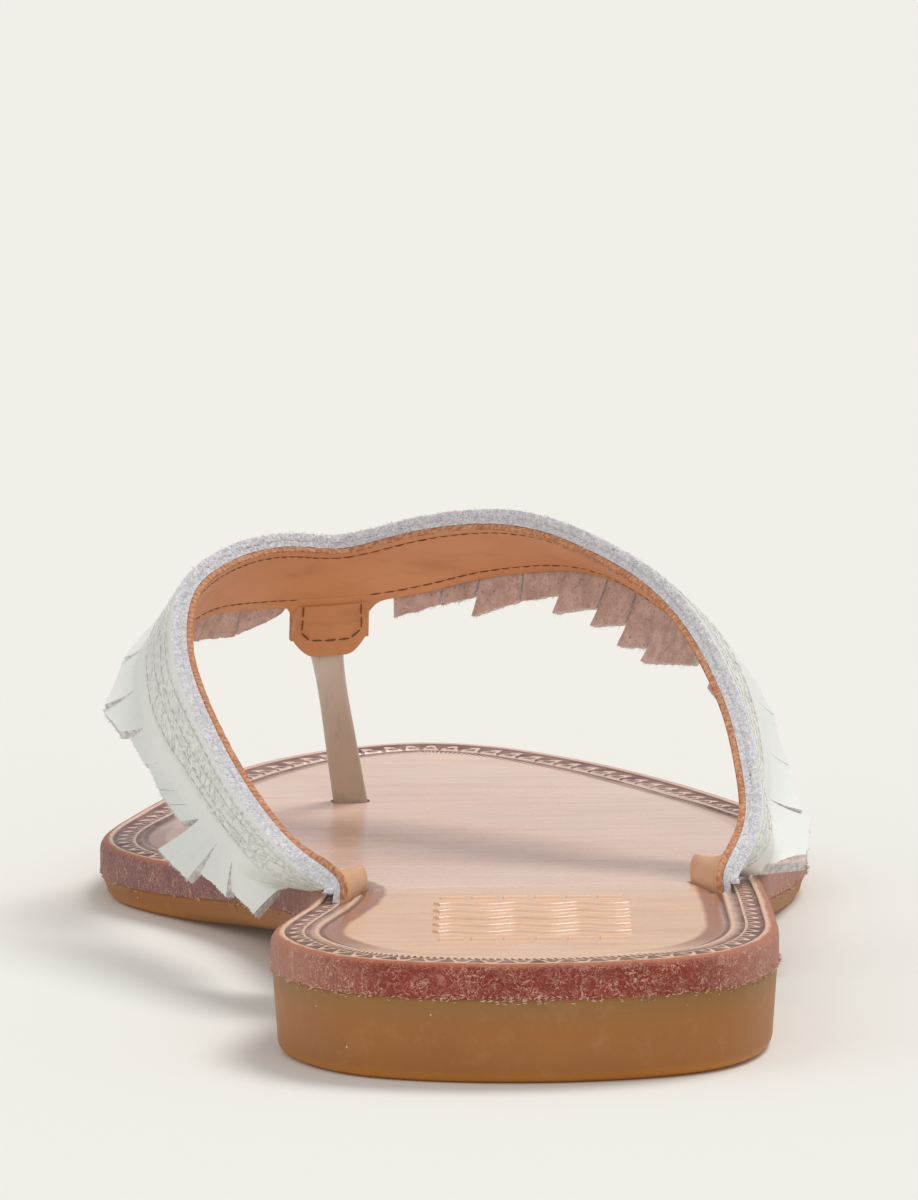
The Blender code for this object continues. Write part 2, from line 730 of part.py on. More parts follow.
def build():
    clear_scene()
    strap = Strap()
    make_outsole()
    footbed = make_footbed()
    make_strap(strap)
    make_fringe(strap)
    post_body("toe_post", strap, 0.0, LEATHER_POST)
    cut(footbed, slot_cutter(strap, "medial_slot_cutter", 0))
    cut(footbed, slot_cutter(strap, "lateral_slot_cutter", -1))
    cut(footbed, post_body("post_slot_cutter", strap, SLOT_CLEARANCE, None))
    for thing in bpy.context.scene.objects:
        thing.location.y = -HEEL_CENTRE


build()
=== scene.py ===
"""Looks of the fringed thong sandal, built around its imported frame. Metres, +Z up, toe along +Y."""

import math
from collections import namedtuple

import bmesh
import bpy
import numpy as np
from mathutils import Matrix


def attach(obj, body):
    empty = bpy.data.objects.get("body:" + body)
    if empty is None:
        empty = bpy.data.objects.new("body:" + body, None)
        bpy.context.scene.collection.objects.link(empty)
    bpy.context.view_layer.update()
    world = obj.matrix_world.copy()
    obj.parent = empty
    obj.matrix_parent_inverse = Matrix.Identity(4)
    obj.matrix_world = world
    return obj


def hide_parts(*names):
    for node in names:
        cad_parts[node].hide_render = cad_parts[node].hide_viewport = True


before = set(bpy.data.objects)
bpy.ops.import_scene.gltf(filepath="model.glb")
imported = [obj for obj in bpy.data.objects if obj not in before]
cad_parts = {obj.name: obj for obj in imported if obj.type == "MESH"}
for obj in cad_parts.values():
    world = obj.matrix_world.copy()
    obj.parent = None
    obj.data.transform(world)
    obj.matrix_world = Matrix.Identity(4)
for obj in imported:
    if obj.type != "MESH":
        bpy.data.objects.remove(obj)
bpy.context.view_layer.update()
MM = 0.001


# Outsole. One moulded piece of amber gum rubber: a thin sheet with the heel block under it.
# It is cemented to the leather footbed and its side is buffed to a soft gloss.
SOLE_LENGTH = 0.2545
BALL_WIDTH = 0.095
WAIST_WIDTH = 0.057
HEEL_WIDTH = 0.0622
RUBBER_SHEET = 0.0030
HEEL_LIFT = 0.0071
HEEL_LENGTH = 0.066
BREAST_RAKE = 0.002
TOE_SPRING = 0.0029
WAIST_BEND = 0.265
BALL_REST = 0.585
TOE_LIFT = 0.765
TOE_CURVE = 1.3
RAMP_CORNER = 0.12
SEAM_GAP = 0.0003
# The heel's centre stands over the origin
HEEL_CENTRE = 0.030
RUBBER_INSET = 0.0002
RUBBER_TAPER = 0.0006
RUBBER_ROUND = 0.0016
# The rounded lower edge, the side and the cement's bead, as shares of their heights
ROUND_STEPS = (0.0, 0.3, 0.6, 0.85, 1.0)
SIDE_STEPS = (0.35, 0.7, 0.96)
BEAD_INSET = 0.15 * MM
BEAD_RISE = 0.9
SIDE_STATIONS = 260
OUTLINE_SAMPLES = 5000
SMOOTH_ANGLE = math.radians(35)

# along is a share of SOLE_LENGTH; medial and lateral are shares of width
Edge = namedtuple("Edge", "along medial lateral width")
OUTLINE = (
    Edge(0.020, -0.281, 0.330, HEEL_WIDTH),
    Edge(0.055, -0.405, 0.460, HEEL_WIDTH),
    Edge(0.110, -0.470, 0.526, HEEL_WIDTH),
    Edge(0.165, -0.444, 0.539, HEEL_WIDTH),
    Edge(0.215, -0.432, 0.593, WAIST_WIDTH),
    Edge(0.265, -0.404, 0.596, WAIST_WIDTH),
    Edge(0.330, -0.412, 0.605, WAIST_WIDTH),
    Edge(0.400, -0.455, 0.625, WAIST_WIDTH),
    Edge(0.470, -0.312, 0.394, BALL_WIDTH),
    Edge(0.540, -0.383, 0.421, BALL_WIDTH),
    Edge(0.600, -0.462, 0.453, BALL_WIDTH),
    Edge(0.645, -0.508, 0.476, BALL_WIDTH),
    Edge(0.690, -0.518, 0.482, BALL_WIDTH),
    Edge(0.740, -0.500, 0.466, BALL_WIDTH),
    Edge(0.790, -0.467, 0.427, BALL_WIDTH),
    Edge(0.840, -0.423, 0.371, BALL_WIDTH),
    Edge(0.890, -0.366, 0.300, BALL_WIDTH),
    Edge(0.930, -0.304, 0.228, BALL_WIDTH),
    Edge(0.965, -0.227, 0.146, BALL_WIDTH),
    Edge(0.988, -0.142, 0.070, BALL_WIDTH),
)
HEEL_BACK = 0.024
TOE_TIP = -0.037


def spline(knots, values, wanted):
    """Natural cubic spline through values at knots, read at wanted."""
    knots = np.asarray(knots, float)
    values = np.asarray(values, float)
    count = len(knots)
    step = np.diff(knots)
    matrix = np.zeros((count, count))
    right = np.zeros((count,) + values.shape[1:])
    matrix[0, 0] = matrix[-1, -1] = 1.0
    slope = np.diff(values, axis=0) / step.reshape((-1,) + (1,) * (values.ndim - 1))
    for i in range(1, count - 1):
        matrix[i, i - 1 : i + 2] = step[i - 1], 2 * (step[i - 1] + step[i]), step[i]
        right[i] = 6 * (slope[i] - slope[i - 1])
    bend = np.linalg.solve(matrix, right)
    wanted = np.atleast_1d(np.asarray(wanted, float))
    k = np.clip(np.searchsorted(knots, wanted) - 1, 0, count - 2)
    h = step[k]
    a = (knots[k + 1] - wanted) / h
    b = (wanted - knots[k]) / h
    if values.ndim > 1:
        a, b, h = a[:, None], b[:, None], h[:, None]
    cubic = ((a**3 - a) * bend[k] + (b**3 - b) * bend[k + 1]) * h**2 / 6
    return a * values[k] + b * values[k + 1] + cubic


def chord_knots(points):
    gaps = np.sqrt(np.linalg.norm(np.diff(points, axis=0), axis=1))
    return np.concatenate([[0], np.cumsum(gaps)])


def unit(v):
    return v / np.linalg.norm(v, axis=-1, keepdims=True)


def soft_corner(t):
    turn = (t + RAMP_CORNER) ** 2 / (4 * RAMP_CORNER)
    return np.where(t < -RAMP_CORNER, 0.0, np.where(t > RAMP_CORNER, t, turn))


def ramp(t):
    """0 before t = 0 and 1 after t = 1, straight between, with rounded corners."""
    t = np.asarray(t, float)
    return soft_corner(t) - soft_corner(t - 1)


def sole_lift(y):
    along = np.asarray(y, float) / SOLE_LENGTH
    fall = 1 - ramp((along - WAIST_BEND) / (BALL_REST - WAIST_BEND))
    toe = np.clip((along - TOE_LIFT) / (1 - TOE_LIFT), 0, None) ** TOE_CURVE
    return HEEL_LIFT * fall + TOE_SPRING * toe


def rubber_top(y):
    return sole_lift(y) + RUBBER_SHEET


def rubber_underside(y):
    block = np.clip((HEEL_LENGTH + BREAST_RAKE - y) / BREAST_RAKE, 0, 1)
    return sole_lift(y) * (1 - block)


def sole_ring(stations, extra=()):
    """The outline as a ring: up the lateral side, then down the medial side, in pairs of one y."""
    back = (HEEL_BACK * HEEL_WIDTH, 0.0)
    tip = (TOE_TIP * BALL_WIDTH, SOLE_LENGTH)
    lateral = [(e.lateral * e.width, e.along * SOLE_LENGTH) for e in OUTLINE]
    medial = [(e.medial * e.width, e.along * SOLE_LENGTH) for e in OUTLINE]
    ring = np.array([back] + lateral + [tip] + medial[::-1])
    wrap = 4
    looped = np.concatenate([ring[-wrap:], ring, ring[: wrap + 1]])
    knots = chord_knots(looped)
    dense = spline(knots, looped, np.linspace(knots[wrap], knots[wrap + len(ring)], OUTLINE_SAMPLES))
    dense = np.roll(dense[:-1], -int(np.argmin(dense[:, 1])), axis=0)
    top = int(np.argmax(dense[:, 1]))
    left, right = dense[top:][::-1], dense[: top + 1]
    low = max(left[0, 1], right[0, 1])
    high = min(left[-1, 1], right[-1, 1])
    turn = np.linspace(0, math.pi, stations + 1)[1:-1]
    y = np.unique(np.concatenate([low + (high - low) * (1 - np.cos(turn)) / 2, extra]))
    up = np.stack([np.interp(y, right[:, 1], right[:, 0]), y], 1)
    down = np.stack([np.interp(y, left[:, 1], left[:, 0]), y], 1)
    return np.concatenate([up, down[::-1]])


def inset(ring, distance):
    run = unit(np.roll(ring, -1, axis=0) - np.roll(ring, 1, axis=0))
    return ring + np.stack([-run[:, 1], run[:, 0]], 1) * distance


def tone(red, green, blue):
    """A colour as it is seen, 0 to 255, turned into the renderer's own."""
    share = np.array([red, green, blue]) / 255
    linear = np.where(share < 0.04045, share / 12.92, ((share + 0.055) / 1.055) ** 2.4)
    return (*linear.tolist(), 1.0)


class Finish:
    """A material built up from nodes around one Principled shader."""

    def __init__(self, name):
        self.material = bpy.data.materials.new(name)
        self.material.use_nodes = True
        self.tree = self.material.node_tree
        self.shader = self.tree.nodes["Principled BSDF"]
        self.place = self.node("TexCoord").outputs["Object"]
        axes = self.node("SeparateXYZ", {0: self.place})
        self.x, self.y, self.z = axes.outputs

    def pattern(self):
        """The place in the pattern, and its two coordinates by themselves."""
        place = self.node("UVMap", uv_map="pattern").outputs[0]
        axes = self.node("SeparateXYZ", {0: place})
        return place, axes.outputs[0], axes.outputs[1]

    def node(self, kind, inputs=None, **settings):
        made = self.tree.nodes.new("ShaderNode" + kind)
        for key, value in settings.items():
            setattr(made, key, value)
        for key, value in (inputs or {}).items():
            if isinstance(value, bpy.types.NodeSocket):
                self.tree.links.new(value, made.inputs[key])
            else:
                made.inputs[key].default_value = value
        return made

    def maths(self, operation, *values):
        inputs = dict(enumerate(values))
        return self.node("Math", inputs, operation=operation).outputs[0]

    def stretched(self, stretch):
        """Object coordinates drawn out by stretch along x, y and z."""
        scale = tuple(1 / part for part in stretch)
        return self.node("Mapping", {0: self.place, 3: scale}).outputs[0]

    def noise(self, size, detail=3.0, rough=0.55, stretch=None, twist=0.0):
        """Soft cloudy noise whose patches are about size metres across."""
        where = self.stretched(stretch) if stretch else self.place
        inputs = {"Vector": where, "Scale": 1 / size, "Detail": detail, "Roughness": rough}
        inputs["Distortion"] = twist
        return self.node("TexNoise", inputs).outputs[0]

    def cells(self, size, feature="F1", stretch=None, where=None):
        """Distance within cells of about size metres."""
        where = where or (self.stretched(stretch) if stretch else self.place)
        inputs = {"Vector": where, "Scale": 1 / size}
        return self.node("TexVoronoi", inputs, feature=feature).outputs["Distance"]

    def fade(self, value, low, high, start=0.0, end=1.0):
        """start where value is low or under, end where it is high or over, smooth between."""
        inputs = {0: value, 1: low, 2: high, 3: start, 4: end}
        made = self.node("MapRange", inputs, interpolation_type="SMOOTHSTEP")
        return made.outputs[0]

    def blend(self, share, first, second):
        made = self.node("Mix", {0: share, 6: first, 7: second}, data_type="RGBA")
        return made.outputs[2]

    def relief(self, height, depth, strength=1.0, below=None):
        inputs = {"Strength": strength, "Distance": depth, "Height": height}
        if below:
            inputs["Normal"] = below
        return self.node("Bump", inputs).outputs[0]

    def dress(self, **sockets):
        """Set or link the shader's own sockets, named in words joined by underscores."""
        for key, value in sockets.items():
            socket = self.shader.inputs[key.replace("_", " ").title().replace("Ior", "IOR")]
            if isinstance(value, bpy.types.NodeSocket):
                self.tree.links.new(value, socket)
            else:
                socket.default_value = value
        return self.material


def add_piece(name, verts, faces, finishes, which=None, uv=None):
    """A mesh object; which gives each face's finish and uv each corner's place."""
    mesh = bpy.data.meshes.new(name)
    mesh.from_pydata(np.asarray(verts, float).tolist(), [], [tuple(map(int, f)) for f in faces])
    for finish in finishes:
        mesh.materials.append(finish)
    if which is not None:
        mesh.polygons.foreach_set("material_index", np.asarray(which, np.int32))
    if uv is not None:
        mesh.uv_layers.new(name="pattern").data.foreach_set("uv", np.asarray(uv, np.float32).ravel())
    form = bmesh.new()
    form.from_mesh(mesh)
    bmesh.ops.recalc_face_normals(form, faces=form.faces)
    if form.calc_volume(signed=True) < 0:
        bmesh.ops.reverse_faces(form, faces=form.faces)
    form.to_mesh(mesh)
    form.free()
    mesh.shade_smooth()
    mesh.set_sharp_from_angle(angle=SMOOTH_ANGLE)
    piece = bpy.data.objects.new(name, mesh)
    bpy.context.scene.collection.objects.link(piece)
    return piece


def seat(piece, nodes):
    """The piece rides with the sandal and stands for nodes, whose parts are hidden."""
    piece.data.transform(Matrix.Translation((0, -HEEL_CENTRE, 0)))
    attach(piece, "root")
    if nodes:
        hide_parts(*nodes)


def ring_faces(count, rings):
    """Quads between each ring of count points and the next."""
    i = np.arange(count)
    j = (i + 1) % count
    return np.concatenate(
        [
            np.stack([k * count + i, k * count + j, (k + 1) * count + j, (k + 1) * count + i], 1)
            for k in range(rings - 1)
        ]
    )


def capped(rings):
    """Points and faces of a tube through rings, closed at both ends."""
    count = len(rings[0])
    last = (len(rings) - 1) * count
    ends = [tuple(range(count)), tuple(range(last, last + count))]
    return np.concatenate(rings), ring_faces(count, len(rings)).tolist() + ends


def gum_rubber():
    finish = Finish("gum rubber")
    cloud = finish.noise(14 * MM, 3)
    body = finish.blend(cloud, tone(154, 98, 48), tone(174, 116, 60))
    # Painted glow: the lowest 1.8 mm of the rubber is blended to a lighter orange, as if light shone
    # through its lower edge
    glow = finish.fade(finish.z, 0.0, 1.8 * MM, 0.75, 0.0)
    body = finish.blend(glow, body, tone(214, 140, 50))
    top = finish.fade(finish.z, 6.0 * MM, 9.8 * MM, 0.0, 0.55)
    body = finish.blend(top, body, tone(140, 108, 62))
    bloom = finish.fade(finish.noise(4 * MM, 4, 0.7), 0.5, 0.75, 0.0, 0.22)
    body = finish.blend(bloom, body, tone(190, 150, 110))
    speck = finish.fade(finish.cells(4.2 * MM), 0.030, 0.050, 0.8, 0.0)
    body = finish.blend(speck, body, tone(240, 214, 176))
    buff = finish.noise(0.5 * MM, 2, stretch=(1, 1, 5))
    bump = finish.relief(buff, 0.05 * MM, 0.5)
    bump = finish.relief(finish.noise(6 * MM, 2), 0.4 * MM, 0.35, bump)
    rough = finish.fade(cloud, 0.3, 0.7, 0.46, 0.58)
    return finish.dress(
        base_color=body,
        roughness=rough,
        normal=bump,
        specular_ior_level=0.3,
        subsurface_weight=0.12,
        subsurface_radius=(4 * MM, 2 * MM, 0.6 * MM),
        subsurface_scale=1.0,
    )


rubber_ring = sole_ring(SIDE_STATIONS, [HEEL_LENGTH, HEEL_LENGTH + BREAST_RAKE])
rubber_layers = []
for share in ROUND_STEPS:
    curve = math.sqrt(1 - (1 - share) ** 2)
    rubber_layers.append((RUBBER_INSET + RUBBER_TAPER + RUBBER_ROUND * (1 - curve), share))
verts = []
for distance, share in rubber_layers:
    flat = inset(rubber_ring, distance)
    verts.append(np.column_stack([flat, rubber_underside(flat[:, 1]) + RUBBER_ROUND * share]))
for share in SIDE_STEPS:
    flat = inset(rubber_ring, RUBBER_INSET + RUBBER_TAPER * (1 - share))
    low = rubber_underside(flat[:, 1]) + RUBBER_ROUND
    verts.append(np.column_stack([flat, low + (rubber_top(flat[:, 1]) - low) * share]))
# The cement's bead rises into the joint
flat = inset(rubber_ring, RUBBER_INSET + BEAD_INSET)
verts.append(np.column_stack([flat, rubber_top(flat[:, 1]) + SEAM_GAP * BEAD_RISE]))
count = len(rubber_ring)
faces = ring_faces(count, len(verts)).tolist()
for base in (0, (len(verts) - 1) * count):
    for i in range(count // 2 - 1):
        faces.append((base + i, base + i + 1, base + count - 2 - i, base + count - 1 - i))
outsole = add_piece("outsole_rubber", np.concatenate(verts), faces, [gum_rubber()])
seat(outsole, ["outsole"])


# Footbed. One thick board of vegetable-tanned leather, cut to the sole, its upper edge rounded
# and its side inked mahogany. A border is rolled into it with a tool and a band beside burnished.
FOOTBED_THICKNESS = 0.0043
FOOTBED_ROUND = 1.3 * MM
WALL_ROWS = (0.0, 0.06, 0.2, 0.45, 0.7, 1.0)
ROUND_ROWS = (0.2, 0.45, 0.75, 1.0)
# Distances in from the edge, and how deep the tool has pressed there
Press = namedtuple("Press", "inwards depth")
BORDER = (
    Press(1.45 * MM, 0.0),
    Press(1.7 * MM, 0.08 * MM),
    Press(1.9 * MM, 0.24 * MM),
    Press(2.2 * MM, 0.20 * MM),
    Press(3.2 * MM, 0.12 * MM),
    Press(4.0 * MM, 0.04 * MM),
    Press(4.25 * MM, 0.12 * MM),
    Press(4.8 * MM, 0.07 * MM),
    Press(5.5 * MM, 0.0),
    Press(5.85 * MM, 0.02 * MM),
    Press(6.05 * MM, 0.20 * MM),
    Press(6.30 * MM, 0.24 * MM),
    Press(6.55 * MM, 0.14 * MM),
    Press(7.6 * MM, 0.12 * MM),
    Press(8.8 * MM, 0.03 * MM),
    Press(10.2 * MM, 0.0),
)
TOOTH_PITCH = 1.0 * MM
TEETH_IN_WAVE = 4
FIELD_COLUMNS = 84
# A place in the pattern that the border doesn't reach
PLAIN = (0.5, 12.0)
# Where the foot and the bend of the leather have marked it, in metres from the heel's back.
# The outline has extra stations beside the long ones.
CREASED_FROM, CREASED_TO, CREASED_STEP = 0.068, 0.103, 0.45 * MM
Crease = namedtuple("Crease", "x0 y0 x1 y1 width depth")
CREASES = (
    Crease(-0.0175, 0.0715, 0.0270, 0.0870, 0.55 * MM, 0.20 * MM),
    Crease(-0.0175, 0.0729, 0.0270, 0.0884, 0.70 * MM, -0.12 * MM),
    Crease(-0.0165, 0.0905, -0.0125, 0.0925, 0.50 * MM, 0.22 * MM),
    Crease(-0.0170, 0.0940, -0.0120, 0.0965, 0.45 * MM, 0.20 * MM),
    Crease(-0.0168, 0.0985, -0.0135, 0.1000, 0.40 * MM, 0.16 * MM),
    Crease(0.0260, 0.1120, 0.0310, 0.1145, 0.50 * MM, 0.14 * MM),
    Crease(0.0120, 0.1650, 0.0180, 0.1662, 0.60 * MM, 0.12 * MM),
    Crease(-0.0050, 0.1240, 0.0050, 0.1252, 1.20 * MM, 0.08 * MM),
)


def footbed_underside(y):
    return rubber_top(y) + SEAM_GAP


def footbed_top(y):
    return footbed_underside(y) + FOOTBED_THICKNESS


def crease_depth(x, y):
    """How far each crease sinks the leather at x, y."""
    total = np.zeros_like(x)
    for crease in CREASES:
        start = np.array([crease.x0, crease.y0])
        run = np.array([crease.x1, crease.y1]) - start
        share = ((x - start[0]) * run[0] + (y - start[1]) * run[1]) / (run @ run)
        near = np.clip(share, 0, 1)
        gap = np.hypot(x - start[0] - run[0] * near, y - start[1] - run[1] * near)
        fade = np.clip(4 * near * (1 - near) + 0.35, 0, 1)
        total += crease.depth * fade * np.exp(-((gap / crease.width) ** 2))
    return total


def tooled_leather():
    """Tan leather with the rolled border drawn in the pattern coordinates: x counts the tool's
    teeth round the edge and y is the distance in from the edge in millimetres."""
    finish = Finish("tooled leather")
    _, teeth, inwards = finish.pattern()

    cloud = finish.noise(26 * MM, 3)
    streak = finish.noise(2.6 * MM, 3, stretch=(9, 1, 1))
    heel = finish.blend(cloud, tone(232, 188, 156), tone(244, 208, 177))
    # The forefoot's paler, pinker tone is partly the leather's own and partly painted sheen, the bright
    # ground reflected at a grazing angle; it is also lightened to offset the strap's shade
    fore = finish.blend(cloud, tone(232, 196, 176), tone(243, 212, 195))
    field = finish.blend(finish.fade(finish.y, 0.036, 0.052), heel, fore)
    field = finish.blend(finish.fade(streak, 0.40, 0.72, 0.0, 0.20), field, tone(184, 138, 116))
    mottle = finish.noise(5 * MM, 2, stretch=(2.5, 1, 1))
    field = finish.blend(finish.fade(mottle, 0.52, 0.75, 0.0, 0.14), field, tone(238, 210, 190))
    pore = finish.fade(finish.cells(9 * MM), 0.014, 0.03, 0.6, 0.0)
    field = finish.blend(pore, field, tone(128, 88, 72))

    # Burnished band and the dark line outside it, gone towards the toe and at the heel's back
    sides = finish.fade(finish.y, -0.024, -0.006)
    toe = finish.fade(finish.y, 0.110, 0.190, 1.0, 0.0)
    strength = finish.maths("MULTIPLY", sides, toe)
    wander = finish.maths("MULTIPLY_ADD", finish.noise(7 * MM, 2), 0.7, inwards)
    inner = finish.fade(wander, 8.9, 9.7, 1.0, 0.0)
    outer = finish.fade(inwards, 5.9, 6.2)
    burnish = finish.maths("MULTIPLY", finish.maths("MULTIPLY", inner, outer), strength)
    field = finish.blend(finish.maths("MULTIPLY", burnish, 0.85), field, tone(150, 100, 84))
    line = finish.maths("ABSOLUTE", finish.maths("SUBTRACT", inwards, 6.25))
    line = finish.maths("MULTIPLY", finish.fade(line, 0.15, 0.5, 1.0, 0.0), strength)
    ink = tone(88, 38, 34)
    field = finish.blend(finish.maths("MULTIPLY", line, 0.75), field, ink)

    # Wave band: light peaks on a dark ground, a small leaf under each. It widens at the toe.
    wide = finish.fade(finish.y, 0.100, 0.195, 1.0, 0.52)
    depth = finish.maths("MULTIPLY_ADD", finish.maths("SUBTRACT", inwards, 1.7), wide, 1.7)
    wave = finish.maths("PINGPONG", finish.maths("DIVIDE", teeth, TEETH_IN_WAVE), 0.5)
    peak = finish.fade(wave, 0.04, 0.46, 3.95, 2.25)
    past = finish.maths("SUBTRACT", depth, peak)
    ground = finish.fade(depth, 1.68, 1.82)
    above = finish.fade(past, -0.10, 0.10, 1.0, 0.0)
    dark = finish.maths("MULTIPLY", ground, above)
    under = finish.fade(past, 0.70, 0.85)
    leaf = finish.maths("MULTIPLY", under, finish.fade(depth, 3.75, 3.95, 1.0, 0.0))
    leaf = finish.maths("MULTIPLY", leaf, finish.fade(wave, 0.25, 0.31))
    dark = finish.maths("MAXIMUM", dark, leaf)

    # Teeth: a dark line with slanted strokes that run to a point away from the edge
    slant = finish.maths("MULTIPLY_ADD", depth, 0.45, teeth)
    tooth = finish.maths("PINGPONG", slant, 0.5)
    reach = finish.fade(depth, 4.30, 5.60, 0.46, 0.10)
    stroke = finish.fade(finish.maths("SUBTRACT", tooth, reach), -0.06, 0.06, 1.0, 0.0)
    zone = finish.fade(depth, 4.12, 4.24)
    zone = finish.maths("MULTIPLY", zone, finish.fade(depth, 5.35, 5.60, 1.0, 0.0))
    dark = finish.maths("MAXIMUM", dark, finish.maths("MULTIPLY", stroke, zone))
    worn = finish.fade(finish.noise(3.5 * MM, 2), 0.3, 0.7, 0.78, 1.0)
    dark = finish.maths("MULTIPLY", dark, worn)
    margin = finish.fade(inwards, 0.9, 5.2, 0.30, 0.0)
    colour = finish.blend(margin, field, tone(222, 168, 142))
    colour = finish.blend(finish.maths("MULTIPLY", dark, 0.93), colour, ink)

    pressed = finish.maths("SUBTRACT", 1.0, dark)
    bump = finish.relief(pressed, 0.18 * MM, 0.8)
    grain = finish.cells(0.55 * MM, stretch=(1.4, 1, 1))
    bump = finish.relief(grain, 0.03 * MM, 0.4, bump)
    bump = finish.relief(streak, 0.10 * MM, 0.3, bump)
    bump = finish.relief(finish.noise(18 * MM, 2), 0.6 * MM, 0.25, bump)
    rough = finish.fade(finish.noise(9 * MM, 3), 0.3, 0.7, 0.20, 0.29)
    rough = finish.maths("MULTIPLY_ADD", dark, 0.3, rough)
    return finish.dress(
        base_color=colour,
        roughness=rough,
        normal=bump,
        specular_ior_level=0.5,
    )


def inked_edge():
    """The board's side: mahogany ink with pale fibres showing through at the heel, and a duller
    plum towards the toe. On the rounded upper edge the ink thins out to bare leather."""
    finish = Finish("inked leather edge")
    _, _, inwards = finish.pattern()
    cloud = finish.noise(6 * MM, 3)
    centre = finish.blend(cloud, tone(112, 34, 22), tone(156, 60, 40))
    corner = finish.blend(cloud, tone(150, 92, 76), tone(190, 132, 112))
    off_centre = finish.maths("ABSOLUTE", finish.maths("SUBTRACT", finish.x, 0.002))
    heel = finish.blend(finish.fade(off_centre, 0.017, 0.031), centre, corner)
    side = finish.blend(cloud, tone(150, 98, 84), tone(186, 136, 116))
    plum = finish.blend(cloud, tone(116, 74, 76), tone(150, 106, 104))
    medial = finish.fade(finish.x, -0.030, -0.012, 1.0, 0.0)
    fore = finish.blend(medial, side, plum)
    colour = finish.blend(finish.fade(finish.y, 0.000, 0.030), heel, fore)
    # Pale fibres: thin bent lines where a cloudy noise crosses its middle, in broken patches
    swirl = finish.noise(1.5 * MM, 3, 0.6, twist=1.2)
    second = finish.noise(1.1 * MM, 3, 0.6, stretch=(1.2, 1.3, 0.9), twist=2.0)
    wisps = []
    for way in (swirl, second):
        ridge = finish.maths("ABSOLUTE", finish.maths("SUBTRACT", way, 0.5))
        wisps.append(finish.fade(ridge, 0.006, 0.022, 1.0, 0.0))
    wisp = finish.maths("MAXIMUM", *wisps)
    broken = finish.fade(finish.noise(2.4 * MM, 2), 0.40, 0.60, 0.35, 0.9)
    wisp = finish.maths("MULTIPLY", wisp, broken)
    colour = finish.blend(wisp, colour, tone(228, 176, 152))
    fuzz = finish.fade(finish.noise(0.32 * MM, 2), 0.60, 0.74, 0.0, 0.3)
    colour = finish.blend(fuzz, colour, tone(204, 142, 120))
    # The upper edge is polished a warmer brown before the bare leather begins
    wander = finish.maths("MULTIPLY_ADD", finish.noise(3.5 * MM, 2), 0.7, inwards)
    warm = finish.fade(wander, 0.45, 1.15)
    colour = finish.blend(finish.maths("MULTIPLY", warm, 0.8), colour, tone(188, 110, 74))
    bare = finish.fade(wander, 1.25, 1.65)
    colour = finish.blend(bare, colour, tone(226, 178, 150))
    bump = finish.relief(finish.noise(0.5 * MM, 3), 0.22 * MM, 0.8)
    bump = finish.relief(wisp, 0.12 * MM, 0.6, bump)
    rough = finish.fade(inwards, 0.2, 1.0, 0.62, 0.42)
    return finish.dress(base_color=colour, roughness=rough, normal=bump, specular_ior_level=0.35)


crease_band = np.arange(CREASED_FROM, CREASED_TO, CREASED_STEP)
board = sole_ring(SIDE_STATIONS, crease_band)
count = len(board)
half = count // 2
steps = np.linalg.norm(np.roll(board, -1, axis=0) - board, axis=1)
around = np.concatenate([[0], np.cumsum(steps)])
teeth_total = round(around[-1] / TOOTH_PITCH / TEETH_IN_WAVE) * TEETH_IN_WAVE
around = around / around[-1] * teeth_total
layers = []
for share in WALL_ROWS:
    layers.append((0.0, share * (FOOTBED_THICKNESS - FOOTBED_ROUND) - FOOTBED_THICKNESS))
for share in ROUND_ROWS:
    angle = share * math.pi / 2
    layers.append((FOOTBED_ROUND * (1 - math.cos(angle)), FOOTBED_ROUND * (math.sin(angle) - 1)))
layers += [(press.inwards, -press.depth) for press in BORDER]
verts = []
for distance, sink in layers:
    flat = inset(board, distance)
    verts.append(np.column_stack([flat, footbed_top(flat[:, 1]) + sink]))
faces = ring_faces(count, len(layers))
corner_u = np.stack([around[:-1], around[1:], around[1:], around[:-1]], 1)
corner_u = np.concatenate([corner_u] * (len(layers) - 1))
level = np.repeat(np.arange(len(layers) - 1), count)
inwards = np.array([distance for distance, _ in layers]) / MM
corner_v = np.stack([inwards[level], inwards[level], inwards[level + 1], inwards[level + 1]], 1)
wall = len(WALL_ROWS) - 1 + len(ROUND_ROWS)
which = (level < wall).astype(int)
faces = faces.tolist()
uv = np.stack([corner_u, corner_v], 2).reshape(-1, 4, 2).tolist()
which = which.tolist()

# The field inside the border, in columns between the two sides
inner = verts[-1]
right, left = inner[:half], inner[half:][::-1]
share = np.linspace(0, 1, FIELD_COLUMNS + 1)[1:-1]
field = right[:, None] + (left - right)[:, None] * share[None, :, None]
field[:, :, 2] = footbed_top(field[:, :, 1]) - crease_depth(field[:, :, 0], field[:, :, 1])
base = (len(layers) - 1) * count
start = len(layers) * count
columns = FIELD_COLUMNS - 1


def field_row(i):
    return [base + i] + [start + i * columns + k for k in range(columns)] + [base + count - 1 - i]


for i in range(half - 1):
    near, far = field_row(i), field_row(i + 1)
    for k in range(FIELD_COLUMNS):
        faces.append((near[k], near[k + 1], far[k + 1], far[k]))
        uv.append([PLAIN] * 4)
        which.append(0)
# The last ring's two closing faces take in the field's end rows
last = (len(layers) - 2) * count
for i, row in ((count - 1, field_row(0)[1:-1]), (half - 1, field_row(half - 1)[1:-1][::-1])):
    face, places = faces[last + i], uv[last + i]
    faces[last + i] = (*face[:3], *row, face[3])
    uv[last + i] = places[:2] + [places[2]] * (len(row) + 1) + places[3:]
for i in range(half - 1):
    faces.append((i, i + 1, count - 2 - i, count - 1 - i))
    uv.append([PLAIN] * 4)
    which.append(1)
footbed = add_piece(
    "footbed_board",
    np.concatenate(verts + [field.reshape(-1, 3)]),
    faces,
    [tooled_leather(), inked_edge()],
    which,
    [corner for face in uv for corner in face],
)


